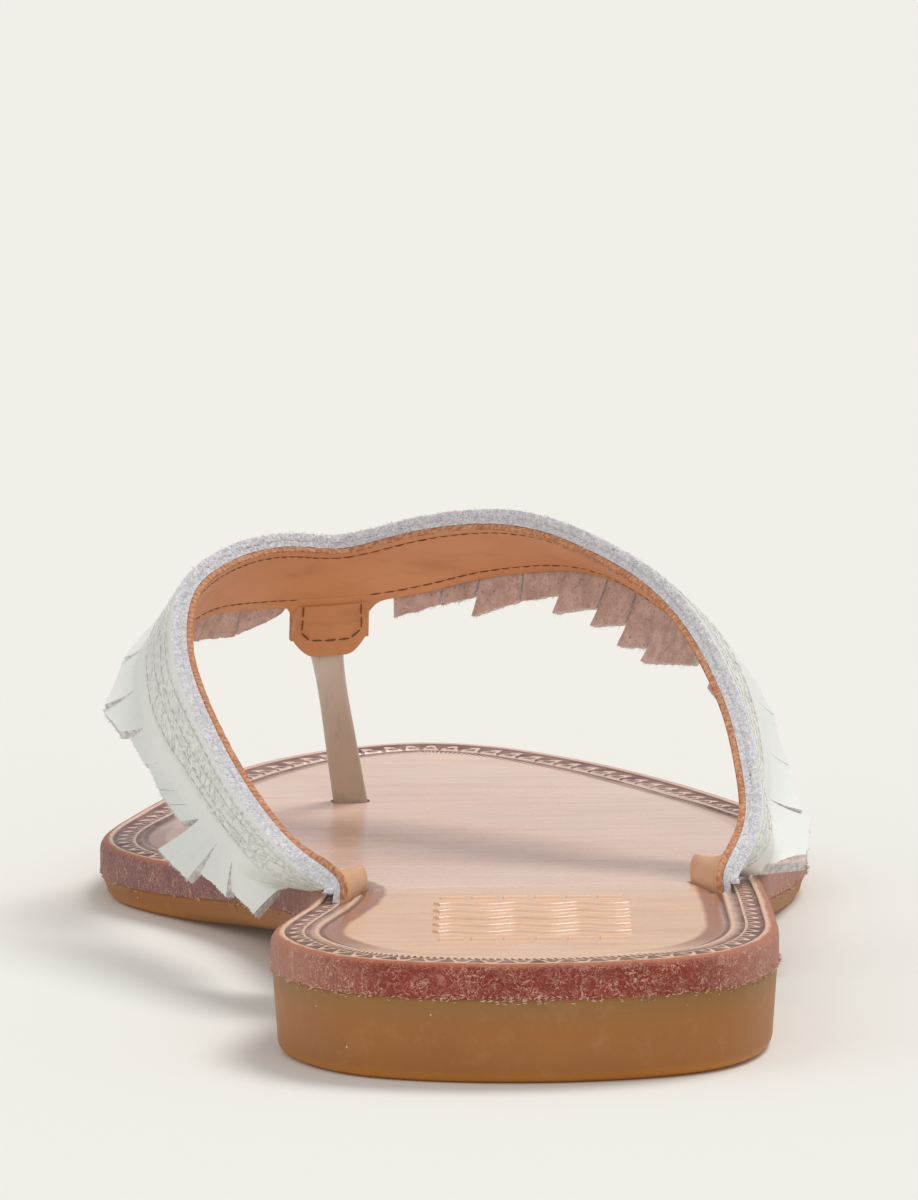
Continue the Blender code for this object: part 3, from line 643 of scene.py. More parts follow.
# Pressed ornament on the heel: plain parallel waved bars between two rows of small blocks,
# rolled in with a tool. They stand a little proud of the board and are of the same leather.
MARK_LEFT = -9.4 * MM
MARK_WIDTH = 23.6 * MM
MARK_START = 22 * MM
MARK_ROWS = 7
MARK_PITCH = 6.2 * MM
MARK_LEAN = 0.040
MARK_HEIGHT = 0.34 * MM
MARK_BAR = 1.7 * MM
MARK_WAVE = 0.8 * MM
MARK_SWINGS = 3
MARK_POINTS = 48
MARK_BLOCKS = 6
BLOCK_ENDS = (0.12, 0.88)
# A bar's section: shares of its width across and of its height up
BAR_SECTION = ((-0.5, -0.3), (-0.42, 0.6), (-0.3, 1.0), (0.3, 1.0), (0.42, 0.6), (0.5, -0.3))


def raised_bar(path, width, height):
    """A low ridge with a flattened top along path, on the footbed."""
    run = unit(np.gradient(path, axis=0))
    side = np.stack([-run[:, 1], run[:, 0]], 1)
    rows = []
    for across, up in BAR_SECTION:
        flat = path + side * across * width
        rows.append(np.column_stack([flat, footbed_top(flat[:, 1]) + up * height]))
    verts = np.stack(rows, 1).reshape(-1, 3)
    count, sides = len(path), len(rows)
    faces = []
    for i in range(count - 1):
        for k in range(sides):
            j = (k + 1) % sides
            faces.append((i * sides + k, i * sides + j, (i + 1) * sides + j, (i + 1) * sides + k))
    faces.append(tuple(range(sides)))
    faces.append(tuple(range((count - 1) * sides, count * sides)))
    return verts, faces


class Heap:
    """Many small closed shapes gathered into one mesh."""

    def __init__(self):
        self.verts, self.faces, self.total = [], [], 0

    def add(self, verts, faces):
        self.verts.append(np.asarray(verts, float))
        self.faces += [tuple(np.add(face, self.total)) for face in faces]
        self.total += len(verts)

    def piece(self, name, finish, uv=None):
        corners = sum(len(face) for face in self.faces)
        places = [uv] * corners if uv else None
        return add_piece(name, np.concatenate(self.verts), self.faces, [finish], None, places)


mark = Heap()
for row in range(MARK_ROWS):
    y = MARK_START + row * MARK_PITCH
    left = MARK_LEFT + row * MARK_PITCH * MARK_LEAN
    spans = [(0.0, 1.0)]
    wave = MARK_WAVE
    if row in (0, MARK_ROWS - 1):
        spans = [[(k + end) / MARK_BLOCKS for end in BLOCK_ENDS] for k in range(MARK_BLOCKS)]
        wave = 0.0
    for low, high in spans:
        share = np.linspace(low, high, max(4, int(MARK_POINTS * (high - low))))
        swing = np.sin(share * 2 * MARK_SWINGS * math.pi) * wave
        path = np.column_stack([left + share * MARK_WIDTH, y + swing])
        mark.add(*raised_bar(path, MARK_BAR, MARK_HEIGHT))
seat(mark.piece("footbed_ornament", footbed.data.materials[0], PLAIN), [])


# Joint of leather and rubber. Buffing has left torn fibres and crumbs of cement along it.
JOINT_FLECKS = 1300
FLECK_LENGTH = 0.8 * MM
# More flecks towards the heel's back, and how far they stray up and down
FLECK_CROWD = 1.3
FLECK_STRAY = 0.30
FLECK_LOW = -0.2 * MM


def flake(place, way, length, radius):
    """A tiny three-sided sliver."""
    side = unit(np.cross(way, (0.3, 0.5, 0.8))) * radius
    rise = unit(np.cross(way, side)) * radius
    ring = np.array([side, -side * 0.5 + rise, -side * 0.5 - rise])
    half = way * length / 2
    verts = np.concatenate([place - half + ring * 0.4, place + ring, (place + half)[None]])
    faces = [(0, 1, 2)]
    for i in range(3):
        j = (i + 1) % 3
        faces += [(i, j, 3 + j, 3 + i), (3 + i, 3 + j, 6)]
    return verts, faces


def torn_fibre():
    finish = Finish("torn fibres")
    tint = finish.noise(0.9 * MM, 2)
    colour = finish.blend(tint, tone(176, 120, 100), tone(238, 204, 184))
    return finish.dress(base_color=colour, roughness=0.9, specular_ior_level=0.2)


rng = np.random.default_rng(21)
flecks = Heap()
joint_ring = inset(board, -0.02 * MM)
heel_share = rng.random(JOINT_FLECKS) ** FLECK_CROWD
for share in heel_share:
    turn = rng.choice((-1, 1)) * share * count * 0.5
    k = int(turn) % count
    x, y = joint_ring[k]
    drop = rng.normal(0, FLECK_STRAY) * MM
    place = np.array([x, y, float(footbed_underside(y)) + drop])
    run = unit(np.append(joint_ring[(k + 1) % count] - joint_ring[k - 1], 0.0))
    out = np.array([run[1], -run[0], 0.0])
    if drop < FLECK_LOW:
        place += out * FLECK_LOW
    way = unit(run + rng.normal(0, 0.7, 3) * (1, 1, 0.6))
    flecks.add(*flake(place, way, FLECK_LENGTH * rng.uniform(0.3, 1.3), rng.uniform(0.04, 0.11) * MM))
seat(flecks.piece("joint_fibres", torn_fibre()), [])


# Strap. A V band of white base leather with its tan lining glued and sewn inside; the lining
# runs out into a small tab over the toe post. Both ends go down through slots in the footbed.
STRAP_WIDTH = 0.0165
STRAP_RISE = 0.0435
STRAP_CAMBER = 0.0003
STRAP_LIFT = 0.0022
SLOT_LENGTH = 0.0202
SLOT_SLANT = 0.35
LINING_INNER = -0.75 * MM
LINING_OUTER = 0.15 * MM
BASE_OUTER = 1.05 * MM
STRAP_COLUMNS = 560
PACED_SAMPLES = 3000
NORMAL_STEP = 0.001
TAB_LENGTH = 0.0076
TAB_WIDTH = 0.0068
TAB_FILLET = 0.0021
TAB_SHIFT = 0.0012
TAB_LEAN = 0.25
TAB_CORNER = 0.74
TAB_LIP_WIDTH = 0.46
TAB_LIP_SLOPE = 0.24
TAB_LIP_CURVE = 1.8
TAB_SHOULDER = 0.42
TAB_SHOULDER_CURVE = 2.2
BULGE_DEPTH = 0.5 * MM
BULGE_RISE = 3.0 * MM
SLOT_PLAY = 0.35 * MM
SLOT_ABOVE = 1.6 * MM
SLOT_BELOW = 3 * MM
# Just above each slot the band's front side leans away from the foot: how far, and how high up
LEAN_OUT = (2.4 * MM, 1.8 * MM)
LEAN_UP = 6.0 * MM
# Stitch lines on the lining, in metres inside each edge
SEAM_INSET = 1.5 * MM
SEAM_STITCH = 1.9 * MM
SEAM_THREAD = 0.13 * MM

# The band's rear edge from the medial slot over the toe post to the lateral slot. along is a
# share of SOLE_LENGTH, across of BALL_WIDTH, up of STRAP_RISE and width of STRAP_WIDTH. lean
# tips the band outwards and skew turns it towards the toe, both in degrees.
Fold = namedtuple("Fold", "along across up lean skew width")
STRAP = (
    Fold(0.267, -0.253, 0.268, -12, 66, 1.07),
    Fold(0.330, -0.307, 0.357, -6, 48, 0.97),
    Fold(0.397, -0.348, 0.465, -4, 34, 0.95),
    Fold(0.464, -0.380, 0.582, 3, 20, 0.94),
    Fold(0.525, -0.397, 0.691, 12, 8, 0.92),
    Fold(0.589, -0.388, 0.800, 25, 2, 0.91),
    Fold(0.639, -0.355, 0.850, 37, 0, 0.90),
    Fold(0.684, -0.294, 0.880, 48, 0, 0.90),
    Fold(0.719, -0.226, 0.872, 54, 0, 0.90),
    Fold(0.743, -0.165, 0.852, 56, 0, 0.90),
    Fold(0.735, -0.101, 0.890, 60, 0, 0.90),
    Fold(0.715, -0.032, 0.932, 63, 0, 0.90),
    Fold(0.688, 0.037, 0.957, 64, 0, 0.90),
    Fold(0.656, 0.104, 0.953, 62, 0, 0.90),
    Fold(0.619, 0.166, 0.917, 57, 0, 0.91),
    Fold(0.574, 0.226, 0.862, 50, 0, 0.91),
    Fold(0.519, 0.277, 0.773, 41, 2, 0.92),
    Fold(0.464, 0.311, 0.658, 30, 8, 0.93),
    Fold(0.409, 0.330, 0.547, 18, 18, 0.95),
    Fold(0.358, 0.337, 0.435, 9, 32, 0.98),
    Fold(0.303, 0.330, 0.306, 6, 50, 1.08),
)
POST_FOLD = 9
Slot = namedtuple("Slot", "along across front_across")
MEDIAL_SLOT = Slot(0.224, -0.350, -0.295)
LATERAL_SLOT = Slot(0.249, 0.493, 0.453)


def camber(share):
    """How far the band arches outwards at share of its width."""
    return STRAP_CAMBER * 4 * share * (1 - share)


class Strap:
    """The band as a surface: place(s, v, t) with s from slot to slot along its rear edge, v
    across it from that edge, and t outwards from its middle."""

    def __init__(self):
        forepart = float(footbed_top(BALL_REST * SOLE_LENGTH))
        table = np.array([(f.across, f.along, f.up) for f in STRAP])
        points = table * (BALL_WIDTH, SOLE_LENGTH, STRAP_RISE) + (0, 0, forepart)
        across = []
        for fold, run in zip(STRAP, unit(np.gradient(points, axis=0))):
            flat = unit(np.array([run[0], run[1], 0.0]))
            out = np.array([-flat[1], flat[0], 0.0])
            down = np.cross(run, out)
            down *= -np.sign(down[2])
            lean = math.radians(fold.lean)
            skew = math.radians(fold.skew)
            square = down * math.cos(lean) + out * math.sin(lean)
            across.append(square * math.cos(skew) + run * np.sign(run[1]) * math.sin(skew))
        feet = []
        for slot in (MEDIAL_SLOT, LATERAL_SLOT):
            y = slot.along * SOLE_LENGTH
            x = slot.across * WAIST_WIDTH
            side = (slot.front_across - slot.across) * WAIST_WIDTH
            line = unit(np.array([side, SLOT_LENGTH, 0.0]))
            sheet = float(rubber_top(y))
            rise = float(footbed_top(y)) - sheet - SEAM_GAP
            low = np.array([x, y - rise * SLOT_SLANT, sheet + SEAM_GAP * 2])
            top = np.array([x, y, footbed_top(y)])
            lift = np.array([0.0, SLOT_SLANT, 1.0]) * STRAP_LIFT
            feet.append((low, top, top + lift, line))
        (m_low, m_top, m_up, m_line), (l_low, l_top, l_up, l_line) = feet
        self.points = np.array([m_low, m_top, m_up, *points, l_up, l_top, l_low])
        self.dirs = np.array([m_line] * 3 + across + [l_line] * 3)
        wide = [SLOT_LENGTH] * 3
        self.widths = np.array(wide + [f.width * STRAP_WIDTH for f in STRAP] + wide)
        self.knots = chord_knots(self.points)
        self.length = self.knots[-1]
        self.tops = self.knots[1], self.knots[-2]
        self.post = self.knots[3 + POST_FOLD]
        self.fine = np.linspace(0, self.length, PACED_SAMPLES)
        middle = self.ruled(self.fine, self.width(self.fine) / 2)
        steps = np.linalg.norm(np.diff(middle, axis=0), axis=1)
        self.run = np.concatenate([[0], np.cumsum(steps)])

    def rear(self, s):
        return spline(self.knots, self.points, s)

    def across(self, s):
        return unit(spline(self.knots, self.dirs, s))

    def width(self, s):
        return spline(self.knots, self.widths, s)

    def ruled(self, s, v):
        return self.rear(s) + self.across(s) * np.asarray(v)[:, None]

    def normal(self, s, v):
        step = self.length * NORMAL_STEP
        ahead = self.ruled(np.clip(s + step, 0, self.length), v)
        behind = self.ruled(np.clip(s - step, 0, self.length), v)
        return unit(np.cross(ahead - behind, self.across(s)))

    def place(self, s, v, t):
        s, v, t = np.broadcast_arrays(s, v, t)
        shape = s.shape
        s, v, t = s.ravel(), v.ravel(), t.ravel()
        t = t + self.lean_out(s, v)
        return (self.ruled(s, v) + self.normal(s, v) * t[:, None]).reshape(*shape, 3)

    def lean_out(self, s, v):
        run = self.run_at(s)
        up = np.stack([run - self.run_at(self.tops[0]), self.run_at(self.tops[1]) - run]) / LEAN_UP
        up = np.clip(up, 0, None)
        swell = up**2 * np.exp(2 - 2 * up)
        share = np.clip(v / self.width(s), 0, 1) ** 1.5
        return (swell[0] * LEAN_OUT[0] + swell[1] * LEAN_OUT[1]) * share

    def tab_frame(self, s):
        """Direction in which the tab hangs and the way its outer face looks."""
        across = self.across(s)
        normal = self.normal(s, self.width(s))
        down = unit(across * TAB_LEAN + np.array([0.0, 0.0, -1.0]))
        return down, unit(normal - down * np.sum(normal * down, axis=1, keepdims=True))

    def at_run(self, run):
        return np.interp(run, self.run, self.fine)

    def run_at(self, s):
        return np.interp(s, self.fine, self.run)


def shell(layers):
    """A closed sheet from layers of points (layer, column, row), outer first and inner last.

    Returns its points, its faces and which faces are cut edges: 0 for outer and inner, 1 for
    the edges and ends.
    """
    layers = np.asarray(layers)
    depth, columns, rows = layers.shape[:3]
    index = np.arange(columns * rows).reshape(columns, rows)
    i, j = np.meshgrid(np.arange(columns - 1), np.arange(rows - 1), indexing="ij")
    quad = np.stack([index[i, j], index[i + 1, j], index[i + 1, j + 1], index[i, j + 1]], -1)
    quad = quad.reshape(-1, 4)
    rim = [(c, 0) for c in range(columns)] + [(columns - 1, r) for r in range(1, rows)]
    rim += [(c, rows - 1) for c in range(columns - 2, -1, -1)] + [(0, r) for r in range(rows - 2, 0, -1)]
    rim = np.array(rim)
    verts = [layers[0].reshape(-1, 3), layers[-1].reshape(-1, 3)]
    rings = [index[rim[:, 0], rim[:, 1]]]
    for k in range(1, depth - 1):
        rings.append(2 * columns * rows + (k - 1) * len(rim) + np.arange(len(rim)))
        verts.append(layers[k][rim[:, 0], rim[:, 1]])
    rings.append(index[rim[:, 0], rim[:, 1]] + columns * rows)
    faces = [quad, quad[:, ::-1] + columns * rows]
    after = np.roll(np.arange(len(rim)), -1)
    for near, far in zip(rings[:-1], rings[1:]):
        faces.append(np.stack([near, far, far[after], near[after]], 1))
    faces = np.concatenate(faces)
    return np.concatenate(verts), faces, (np.arange(len(faces)) >= 2 * len(quad)).astype(int)


def bulge(s, share):
    """How far the lining curls inwards where it is squeezed into the footbed's slots."""
    total = 0.0
    for top in strap.tops:
        away = np.abs(strap.run_at(s) - strap.run_at(top))
        total = total + np.exp(-((away / BULGE_RISE) ** 2))
    return BULGE_DEPTH * total * np.sin(math.pi * np.clip(share, 0, 1) ** 1.5)


def wobble(points, size, seed):
    """Smooth noise between about -1 and 1 whose swells are about size metres apart."""
    rng = np.random.default_rng(seed)
    total = 0.0
    for _ in range(7):
        way = unit(rng.normal(size=3))
        total = total + np.sin(points @ way * (rng.uniform(3.5, 9.0) / size) + rng.uniform(0, 6.28))
    return total / 4


def tab_reach(side):
    """How far the tab hangs below the band's lower edge, side metres from its middle."""
    beyond = np.clip((np.abs(side) - TAB_WIDTH / 2) / TAB_FILLET, 0, 1)
    inside = np.where(beyond <= 0, 1.0, TAB_SHOULDER * (1 - beyond) ** TAB_SHOULDER_CURVE)
    lip = (TAB_WIDTH * TAB_LIP_WIDTH - np.abs(side)) / (TAB_WIDTH * TAB_LIP_SLOPE)
    lip = 1 - (1 - np.clip(lip, 0, 1)) ** TAB_LIP_CURVE
    low = TAB_CORNER + (1 - TAB_CORNER) * lip
    return TAB_LENGTH * low * inside


def lining_leather():
    finish = Finish("tan lining leather")
    cloud = finish.noise(12 * MM, 3)
    colour = finish.blend(cloud, tone(202, 142, 96), tone(222, 168, 120))
    slots = finish.fade(finish.z, 14 * MM, 21 * MM, 0.85, 0.0)
    colour = finish.blend(slots, colour, tone(224, 180, 142))
    streak = finish.noise(3 * MM, 3, stretch=(4, 4, 1))
    colour = finish.blend(finish.fade(streak, 0.5, 0.75, 0.0, 0.28), colour, tone(158, 98, 62))
    grain = finish.cells(0.7 * MM)
    bump = finish.relief(grain, 0.04 * MM, 0.5)
    bump = finish.relief(streak, 0.15 * MM, 0.3, bump)
    return finish.dress(base_color=colour, roughness=0.48, normal=bump, specular_ior_level=0.35)


def lining_edge():
    finish = Finish("cut lining edge")
    fine = finish.noise(0.6 * MM, 3)
    colour = finish.blend(finish.fade(fine, 0.30, 0.70), tone(170, 108, 76), tone(214, 160, 122))
    speck = finish.fade(finish.cells(1.6 * MM), 0.1, 0.2, 0.3, 0.0)
    colour = finish.blend(speck, colour, tone(238, 214, 192))
    bump = finish.relief(fine, 0.25 * MM, 0.9)
    return finish.dress(base_color=colour, roughness=0.85, normal=bump, specular_ior_level=0.2)


def white_grain(name, tint, sewn=False):
    """Smooth finished white leather with fine pores, and puckers where it is sewn, their creases greyed
    with painted shade.
    """
    finish = Finish(name)
    cloud = finish.noise(10 * MM, 3)
    dark = tuple(part - 7 for part in tint)
    colour = finish.blend(cloud, tone(*dark), tone(*tint))
    pore = finish.fade(finish.cells(0.55 * MM), 0.05, 0.35, 0.12, 0.0)
    colour = finish.blend(pore, colour, tone(180, 182, 176))
    bump = finish.relief(finish.cells(0.6 * MM), 0.05 * MM, 0.45)
    bump = finish.relief(finish.noise(4 * MM, 3), 0.3 * MM, 0.35, bump)
    if sewn:
        pattern, _, across = finish.pattern()
        drawn = finish.node("Mapping", {0: pattern, 3: (1.0, 0.45, 1.0)}).outputs[0]
        tuck = finish.node("TexNoise", {0: drawn, 2: 0.75, 3: 2.0, 8: 1.4}).outputs[0]
        tuck = finish.maths("ABSOLUTE", finish.maths("SUBTRACT", tuck, 0.5))
        near = finish.fade(across, 0.6, 1.6)
        near = finish.maths("MULTIPLY", near, finish.fade(across, 9.0, 11.5, 1.0, 0.0))
        crease = finish.maths("MULTIPLY", finish.fade(tuck, 0.003, 0.028, 1.0, 0.0), near)
        # Painted shade: the puckers' creases are greyed in the colour, besides being sunk by the bump
        colour = finish.blend(finish.maths("MULTIPLY", crease, 0.3), colour, tone(186, 182, 172))
        bump = finish.relief(finish.maths("SUBTRACT", 1.0, crease), 0.25 * MM, 0.8, bump)
    return finish.dress(base_color=colour, roughness=0.5, normal=bump, specular_ior_level=0.35)


def raw_edge():
    """The white leather's cut edge: loose pale fibres, silver grey with lilac shadows."""
    finish = Finish("raw white edge")
    fine = finish.noise(0.45 * MM, 3, twist=0.6)
    colour = finish.blend(finish.fade(fine, 0.32, 0.64), tone(200, 198, 202), tone(234, 233, 232))
    warm = finish.fade(finish.noise(1.3 * MM, 2), 0.6, 0.74, 0.0, 0.4)
    colour = finish.blend(warm, colour, tone(196, 178, 172))
    bump = finish.relief(fine, 0.3 * MM, 1.0)
    return finish.dress(base_color=colour, roughness=0.95, normal=bump, specular_ior_level=0.15)


strap = Strap()
post_run = strap.run_at(strap.post) + TAB_SHIFT
lining_share = np.concatenate(
    [
        [0.0, 0.03, 0.07, 0.088, 0.10, 0.112, 0.13],
        np.linspace(0.2, 0.8, 9),
        [0.87, 0.888, 0.90, 0.912, 0.93, 0.97, 1.0],
    ]
)
tab_share = np.linspace(0, 1, 12)[1:]


def lining_columns():
    half = TAB_WIDTH / 2 + TAB_FILLET
    near = np.linspace(post_run - half, post_run + half, 121)
    rest = np.linspace(0, strap.run[-1], STRAP_COLUMNS)
    rest = rest[(rest < near[0]) | (rest > near[-1])]
    return strap.at_run(np.sort(np.concatenate([rest, near])))


def lining_grid(s, t):
    """Points of the lining at depth t, over the band and then down the tab."""
    width = strap.width(s)
    v = width[:, None] * lining_share[None]
    sunk = np.zeros(lining_share.shape)
    if t < 0:
        groove = np.minimum(np.abs(lining_share - 0.10), np.abs(lining_share - 0.90))
        sunk = 0.16 * MM * np.exp(-((groove / 0.010) ** 2))
    depth = t + sunk[None] - bulge(s[:, None], lining_share[None])
    grid = strap.place(np.broadcast_to(s[:, None], v.shape), v, depth)
    grid = grid + strap.normal(s, width / 2)[:, None] * camber(lining_share)[None, :, None]
    hang = tab_reach(strap.run_at(s) - post_run)
    keep = (hang / TAB_LENGTH)[:, None]
    down, face = strap.tab_frame(s)
    down = unit(strap.across(s) * (1 - keep) + down * keep)
    face = unit(strap.normal(s, width) * (1 - keep) + face * keep)
    edge = strap.place(s, width, 0)
    reach = hang[:, None] * tab_share[None] + 0.02 * MM * np.arange(1, len(tab_share) + 1)
    tab = edge[:, None] + down[:, None] * reach[..., None] + face[:, None] * t
    return np.concatenate([grid, tab], axis=1)


s = lining_columns()
soft = 0.18 * MM
layers = [lining_grid(s, LINING_OUTER), lining_grid(s, LINING_OUTER - soft)]
layers += [lining_grid(s, LINING_INNER + soft), lining_grid(s, LINING_INNER)]
layers = np.array(layers)
ragged = wobble(layers[1].reshape(-1, 3), 2.2 * MM, 5).reshape(layers.shape[1:3]) * 0.10 * MM
for k, out in ((0, -0.08), (1, 0.10), (2, 0.10), (3, -0.08)):
    rear = strap.across(s) * (out * MM + ragged[:, 0])[:, None]
    layers[k][:, 0] -= rear
    layers[k][:, -1] += strap.across(s) * (out * MM + ragged[:, -1])[:, None] * 0.8
verts, faces, cut = shell(layers)
finishes = [lining_leather(), lining_edge()]
lining = add_piece("strap_lining", verts, faces, finishes, cut)
seat(lining, ["strap"])

base_share = np.array([0.0, 0.04, 0.12, 0.3, 0.5, 0.7, 0.88, 0.96, 1.0])


def base_grid(s, t):
    width = strap.width(s)
    v = width[:, None] * base_share[None]
    return strap.place(np.broadcast_to(s[:, None], v.shape), v, t + camber(base_share)[None])


s = strap.at_run(np.linspace(0, strap.run[-1], STRAP_COLUMNS))
base_depths = (BASE_OUTER, 0.75 * MM, 0.45 * MM, LINING_OUTER + 0.02 * MM)
layers = np.array([base_grid(s, t) for t in base_depths])
for k in range(len(layers)):
    rough = wobble(layers[k][:, 0], 0.9 * MM, 20 + k) * 0.12 * MM
    layers[k][:, 0] -= strap.across(s) * rough[:, None]
verts, faces, cut = shell(layers)
finishes = [white_grain("white strap leather", (237, 237, 231)), raw_edge()]
base = add_piece("strap_base", verts, faces, finishes, cut)
seat(base, ["strap"])


# A stitch's section is a flattened ring. Its radius along its length, as (place, share):
THREAD_SIDES = 6
THREAD_FLAT = 0.75
THREAD_SWELL = ((0.0, 0.35), (0.12, 0.85), (0.5, 1.0), (0.88, 0.85), (1.0, 0.35))


def capsule(start, end, radius, up):
    """A short rounded thread from start to end, flattened along up."""
    way = unit(end - start)
    side = unit(np.cross(way, up))
    top = np.cross(side, way)
    turn = np.arange(THREAD_SIDES) / THREAD_SIDES * 2 * math.pi
    ring = np.cos(turn)[:, None] * side + np.sin(turn)[:, None] * top * THREAD_FLAT
    verts = []
    for share, size in THREAD_SWELL:
        sag = top * (math.sin(share * math.pi) * radius * 0.5)
        verts.append(start + (end - start) * share + sag + ring * radius * size)
    return capped(verts)


def seam_thread():
    finish = Finish("brown seam thread")
    fray = finish.noise(0.4 * MM, 2)
    colour = finish.blend(fray, tone(96, 62, 40), tone(136, 92, 60))
    return finish.dress(base_color=colour, roughness=0.8, normal=finish.relief(fray, 0.05 * MM))


seam = Heap()
rng = np.random.default_rng(3)
low, high = strap.run_at(strap.tops[0]) + 5 * MM, strap.run_at(strap.tops[1]) - 5 * MM
tab_half = TAB_WIDTH / 2 + 0.2 * MM


def seam_stitches(places, out):
    """Stitches along places, a list of points on the lining with the way its face looks."""
    gap = SEAM_STITCH * 0.10
    steps = np.linalg.norm(np.diff(places, axis=0), axis=1)
    run = np.concatenate([[0], np.cumsum(steps)])
    for start in np.arange(0, run[-1] - SEAM_STITCH, SEAM_STITCH):
        ends = np.array([start + gap, start + SEAM_STITCH - gap])
        points = np.stack([np.interp(ends, run, places[:, k]) for k in range(3)], 1)
        way = np.array([np.interp(start, run, out[:, k]) for k in range(3)])
        points += rng.normal(0, 0.03 * MM, (2, 3))
        seam.add(*capsule(points[0], points[1], SEAM_THREAD * rng.uniform(0.8, 1.1), way))


# Along the rear edge, then along the front edge on either side of the tab
seam_lines = ((0, low, high), (1, low, post_run - tab_half), (1, post_run + tab_half, high))
for edge, first, last in seam_lines:
    s = strap.at_run(np.linspace(first, last, 400))
    width = strap.width(s)
    v = np.full(len(s), SEAM_INSET) if edge == 0 else width - SEAM_INSET
    inwards = LINING_INNER + 0.10 * MM - bulge(s, v / width)
    seam_stitches(strap.place(s, v, inwards + camber(v / width)), -strap.normal(s, v))
# Down one side of the tab, round its foot and up the other
s = strap.at_run(post_run + np.linspace(-1, 1, 41) * (TAB_WIDTH / 2 - 0.6 * MM))
down, face = strap.tab_frame(s)
edge = strap.place(s, strap.width(s), 0)
foot = tab_reach(strap.run_at(s) - post_run) - 2.0 * MM
inner = face * (LINING_INNER + 0.02 * MM)
path = edge + down * foot[:, None] + inner
for end, step in ((0, 1), (-1, -1)):
    reach = np.linspace(-SEAM_INSET, foot[end], 20)[::step]
    side = edge[end] + down[end] * reach[:, None] + inner[end]
    path = np.concatenate([side, path]) if end == 0 else np.concatenate([path, side])
seam_stitches(path, -np.broadcast_to(face[20], path.shape))
seat(seam.piece("strap_seam", seam_thread()), [])


# Fringe. A second layer of white leather sewn over the band with rows of white thread. Its
# rear edge is left raw and fluffy, its front is slit by hand into short strips.
FRINGE_THICKNESS = 1.1 * MM
FRINGE_INNER = 1.07 * MM
FRINGE_OUTER = 2.25 * MM
FRINGE_PACE = 0.40 * MM
END_GAP = 1.0 * MM
ROOT_BACK = 0.5 * MM
SLIT_WIDTH = 0.22 * MM
STRIP_BOW = 0.35 * MM
STRIP_MIDDLE = 1.81 * MM
# A strip first follows the band, then bends to its tip; its tip is a little jagged
ALONG_BAND = 0.6
TO_TIP = 0.4
BEND_AT = 0.36
JAG_SIZE = 1.6 * MM
JAG_DEPTH = 0.12 * MM
JAG_FINE = 0.02 * MM
# Each strip: where it starts and ends along the band's middle from the medial slot, in
# millimetres, and how far its two tip corners stand from the band's front edge
Strip = namedtuple("Strip", "start end near far")
STRIPS = (
    Strip(16.0, 24.5, (-4.0, -1.0, -5.3), (-0.2, 1.5, -4.0)),
    Strip(24.5, 38.5, (-0.8, 1.0, -4.9), (-2.7, 3.0, -4.1)),
    Strip(38.5, 51.0, (-4.0, 1.0, -5.1), (-5.4, 4.0, -4.6)),
    Strip(51.0, 57.5, (-2.4, 3.0, -0.9), (-2.5, 3.0, -0.6)),
    Strip(57.5, 64.0, (-2.5, 3.0, -0.6), (-2.3, 3.0, -0.5)),
    Strip(64.0, 74.5, (-2.3, 3.0, -0.5), (-1.5, 3.0, -0.4)),
    Strip(74.5, 85.5, (-1.7, 3.0, -0.6), (-1.9, 3.0, -1.1)),
    Strip(85.5, 97.0, (-3.1, 1.0, -0.8), (-4.4, 2.0, -3.0)),
    Strip(97.0, 109.0, (-4.2, 1.0, -2.3), (-2.3, 2.0, -1.5)),
    Strip(109.0, 121.5, (-2.2, 1.0, -1.0), (-0.8, 1.0, -0.2)),
    Strip(121.5, 133.0, (-0.1, 2.0, -3.3), (-2.1, 2.0, -6.0)),
    Strip(133.0, 139.5, (-2.0, 2.0, -5.8), (-1.4, 2.0, -6.0)),
    Strip(139.5, 146.5, (-1.2, 2.0, -5.8), (-2.2, 1.0, -2.9)),
    Strip(155.5, 161.0, (0.3, 1.0, -5.1), (-0.8, 1.0, -4.8)),
    Strip(161.0, 165.8, (-0.5, 1.0, -4.9), (-0.8, 1.0, -4.9)),
    Strip(165.8, 173.0, (-1.2, 1.0, -7.6), (-0.5, 1.0, -6.4)),
    Strip(173.0, 181.0, (-0.2, 1.0, -6.4), (-0.9, 1.0, -5.7)),
    Strip(181.0, 189.6, (-2.1, 1.0, -8.3), (-1.8, 1.0, -6.4)),
    Strip(189.6, 196.0, (-2.8, 1.0, -8.9), (-1.9, 1.0, -6.7)),
    Strip(196.0, 202.5, (-3.1, 1.0, -9.7), (-1.9, 1.0, -7.7)),
    Strip(202.5, 213.5, (-3.4, 1.0, -9.6), (-1.6, 1.0, -5.6)),
    Strip(213.5, 219.0, (-1.2, 1.0, -4.1), (0.4, 1.0, -5.5)),
    Strip(219.0, 226.0, (-1.7, 1.0, -6.6), (0.0, 1.0, -7.6)),
    Strip(226.0, 237.0, (2.0, 3.0, -3.0), (1.8, 3.0, -1.8)),
    Strip(237.0, 249.0, (1.8, 3.0, -1.8), (2.5, 3.0, -2.0)),
    Strip(249.0, 261.5, (2.5, 3.0, -2.0), (4.6, 3.0, -2.2)),
    Strip(261.5, 288.0, (5.8, 4.0, -3.1), (8.3, 3.0, -0.5)),
)


